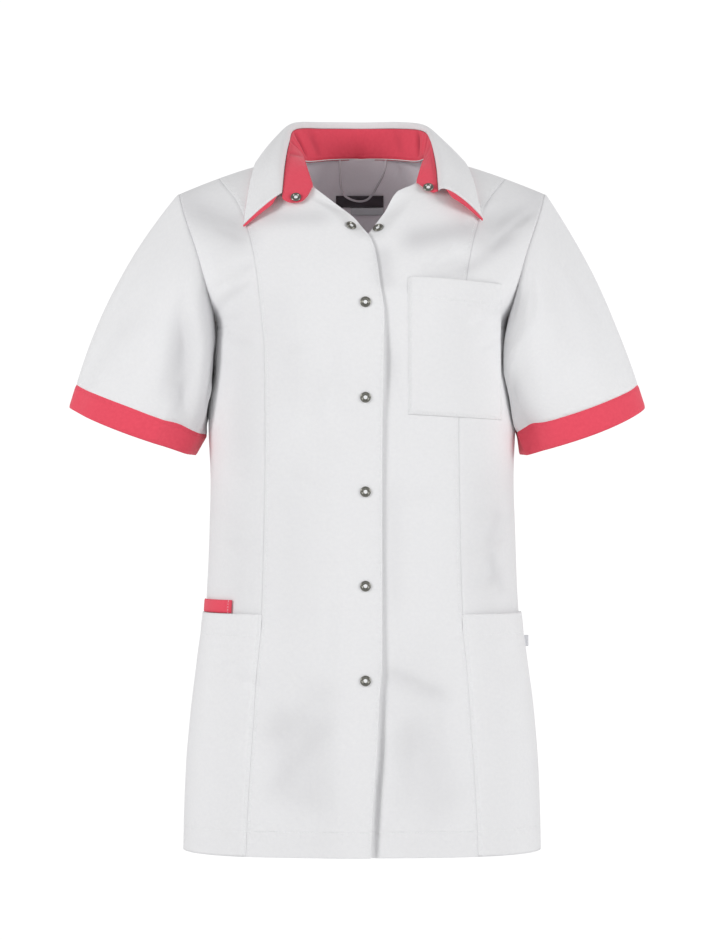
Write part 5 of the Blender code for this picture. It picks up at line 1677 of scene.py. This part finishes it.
stitchLines["collar_fall"] = [
    lineAt(turned, inset, last=True)[3:-3],
    lineAt(grid[4:-3], inset),
    lineAt(grid[4:-3], inset, last=True),
    lineAt(turned, stitch["fromFold"]),
]
loopGrid = outwardGrid(pocketPieces["pocket_loop"][1])
stitchLines["pocket_loop"] = [lineAt(loopGrid, stitch["loopIn"], last=True)]

threadOf = {"cuff_right": coralThread, "cuff_left": coralThread}
stitchPieces = {}
for node, found in stitchLines.items():
    stitchPieces[node] = stitchPiece(titleOf("stitches_" + node), found, threadOf.get(node, whiteThread))
print("stitches made")


# Riding and replaced nodes

everyCloth = {**bodyPieces, **sleevePieces, **collarPieces, **pocketPieces, **smallPieces}
for node, (piece, points) in everyCloth.items():
    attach(piece, "root")
    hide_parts(node)
for node, piece in stitchPieces.items():
    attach(piece, "root")
for node, piece in capPieces.items():
    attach(piece, "root")
    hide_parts(node)

# The cloth as it was cut. How each sheet is held, and what it lies on or hangs from
sheets = {
    "back": ("hung", ("collar_stand",)),
    "front_right_centre": ("hung", ("collar_stand", "front_left_centre")),
    "front_left_centre": ("hung", ("collar_stand",)),
    "front_right_side": ("hung", ("front_right_centre", "back")),
    "front_left_side": ("hung", ("front_left_centre", "back")),
    "sleeve_right": ("hung", ("front_right_side", "back")),
    "sleeve_left": ("hung", ("front_left_side", "back")),
    "cuff_right": ("hung", ("sleeve_right",)),
    "cuff_left": ("hung", ("sleeve_left",)),
    "collar_stand": ("folded", ("back",)),
    "collar_fall": ("folded", ("collar_stand",)),
    "collar_under": ("laid", ("collar_fall",)),
    "chest_pocket": ("laid", ("front_left_centre", "front_left_side")),
    "side_pocket_right": ("laid", ("front_right_side",)),
    "side_pocket_left": ("laid", ("front_left_side",)),
}
closedNodes = ("sleeve_right", "sleeve_left", "cuff_right", "cuff_left")
for node, (held, restsOn) in sheets.items():
    piece, points = everyCloth[node]
    if node in closedNodes:
        points = np.concatenate((points, points[:, :1]), axis=1)
    along = runAlong(points)[-1].max()
    around = runAlong(points, 1)[:, -1].max()
    corners = (points[1:, 1:] - points[:-1, :-1], points[1:, :-1] - points[:-1, 1:])
    area = np.linalg.norm(np.cross(*corners), axis=2).sum() / 2
    flat = (round(float(around), 3), round(float(along), 3))
    area = min(round(float(area), 4), flat[0] * flat[1])
    print("sheet", node, flat, area)


# Room

room = {
    "lens": 158.2,
    "sensor": 36.0,
    "camera": (-0.0016, -4.5, -0.3403),
    "floorZ": -1.5,
    "floorSize": 4.6,
    "floorColour": "F2F2F2",
    "floorRoughness": 0.9,
    "light": 0.46,
    "backdrop": 1.05,
    "aim": (0.0, 0.0, -0.35),
}
# Place, size and power of each lamp
lamps = {
    "KeyLamp": ((-2.6, -1.8, 0.55), 1.1, 45.0),
    "SideLamp": ((2.7, -1.7, 0.35), 1.3, 43.0),
    "BackLamp": ((0.6, 2.8, 1.6), 1.6, 18.0),
}

world = bpy.data.worlds.new("Studio")
bpy.context.scene.world = world
world.use_nodes = True
tree = world.node_tree
tree.nodes.clear()
white = (1.0, 1.0, 1.0, 1.0)
soft = addNode(tree, "ShaderNodeBackground", {}, {"Color": white, "Strength": room["light"]})
pale = addNode(tree, "ShaderNodeBackground", {}, {"Color": white, "Strength": room["backdrop"]})
seen = addNode(tree, "ShaderNodeLightPath").outputs["Is Camera Ray"]
choices = {0: seen, 1: soft.outputs["Background"], 2: pale.outputs["Background"]}
both = addNode(tree, "ShaderNodeMixShader", {}, {}, choices)
addNode(tree, "ShaderNodeOutputWorld", {}, {}, {"Surface": both.outputs["Shader"]})

mesh = bmesh.new()
bmesh.ops.create_circle(mesh, cap_ends=True, segments=96, radius=room["floorSize"])
bmesh.ops.translate(mesh, vec=(0.0, 0.0, room["floorZ"]), verts=mesh.verts)
data = bpy.data.meshes.new("Floor")
mesh.to_mesh(data)
mesh.free()
data.materials.append(blankMaterial("FloorPaint", room["floorRoughness"], room["floorColour"])[0])
floor = placed("Floor", data)
floor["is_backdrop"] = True

for name, (place, size, power) in lamps.items():
    lamp = bpy.data.lights.new(name, "AREA")
    lamp.shape = "SQUARE"
    lamp.size = size
    lamp.energy = power
    made = placed(name, lamp)
    made.location = place
    made.rotation_mode = "QUATERNION"
    made.rotation_quaternion = (Vector(room["aim"]) - Vector(place)).to_track_quat("-Z", "Y")

shot = bpy.data.cameras.new("Camera")
shot.sensor_width = room["sensor"]
shot.lens = room["lens"]
camera = placed("Camera", shot)
camera.location = room["camera"]
camera.rotation_euler = (math.pi / 2, 0.0, 0.0)
bpy.context.scene.camera = camera
bpy.context.scene.view_settings.view_transform = "Standard"

low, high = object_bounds()
print("room made")
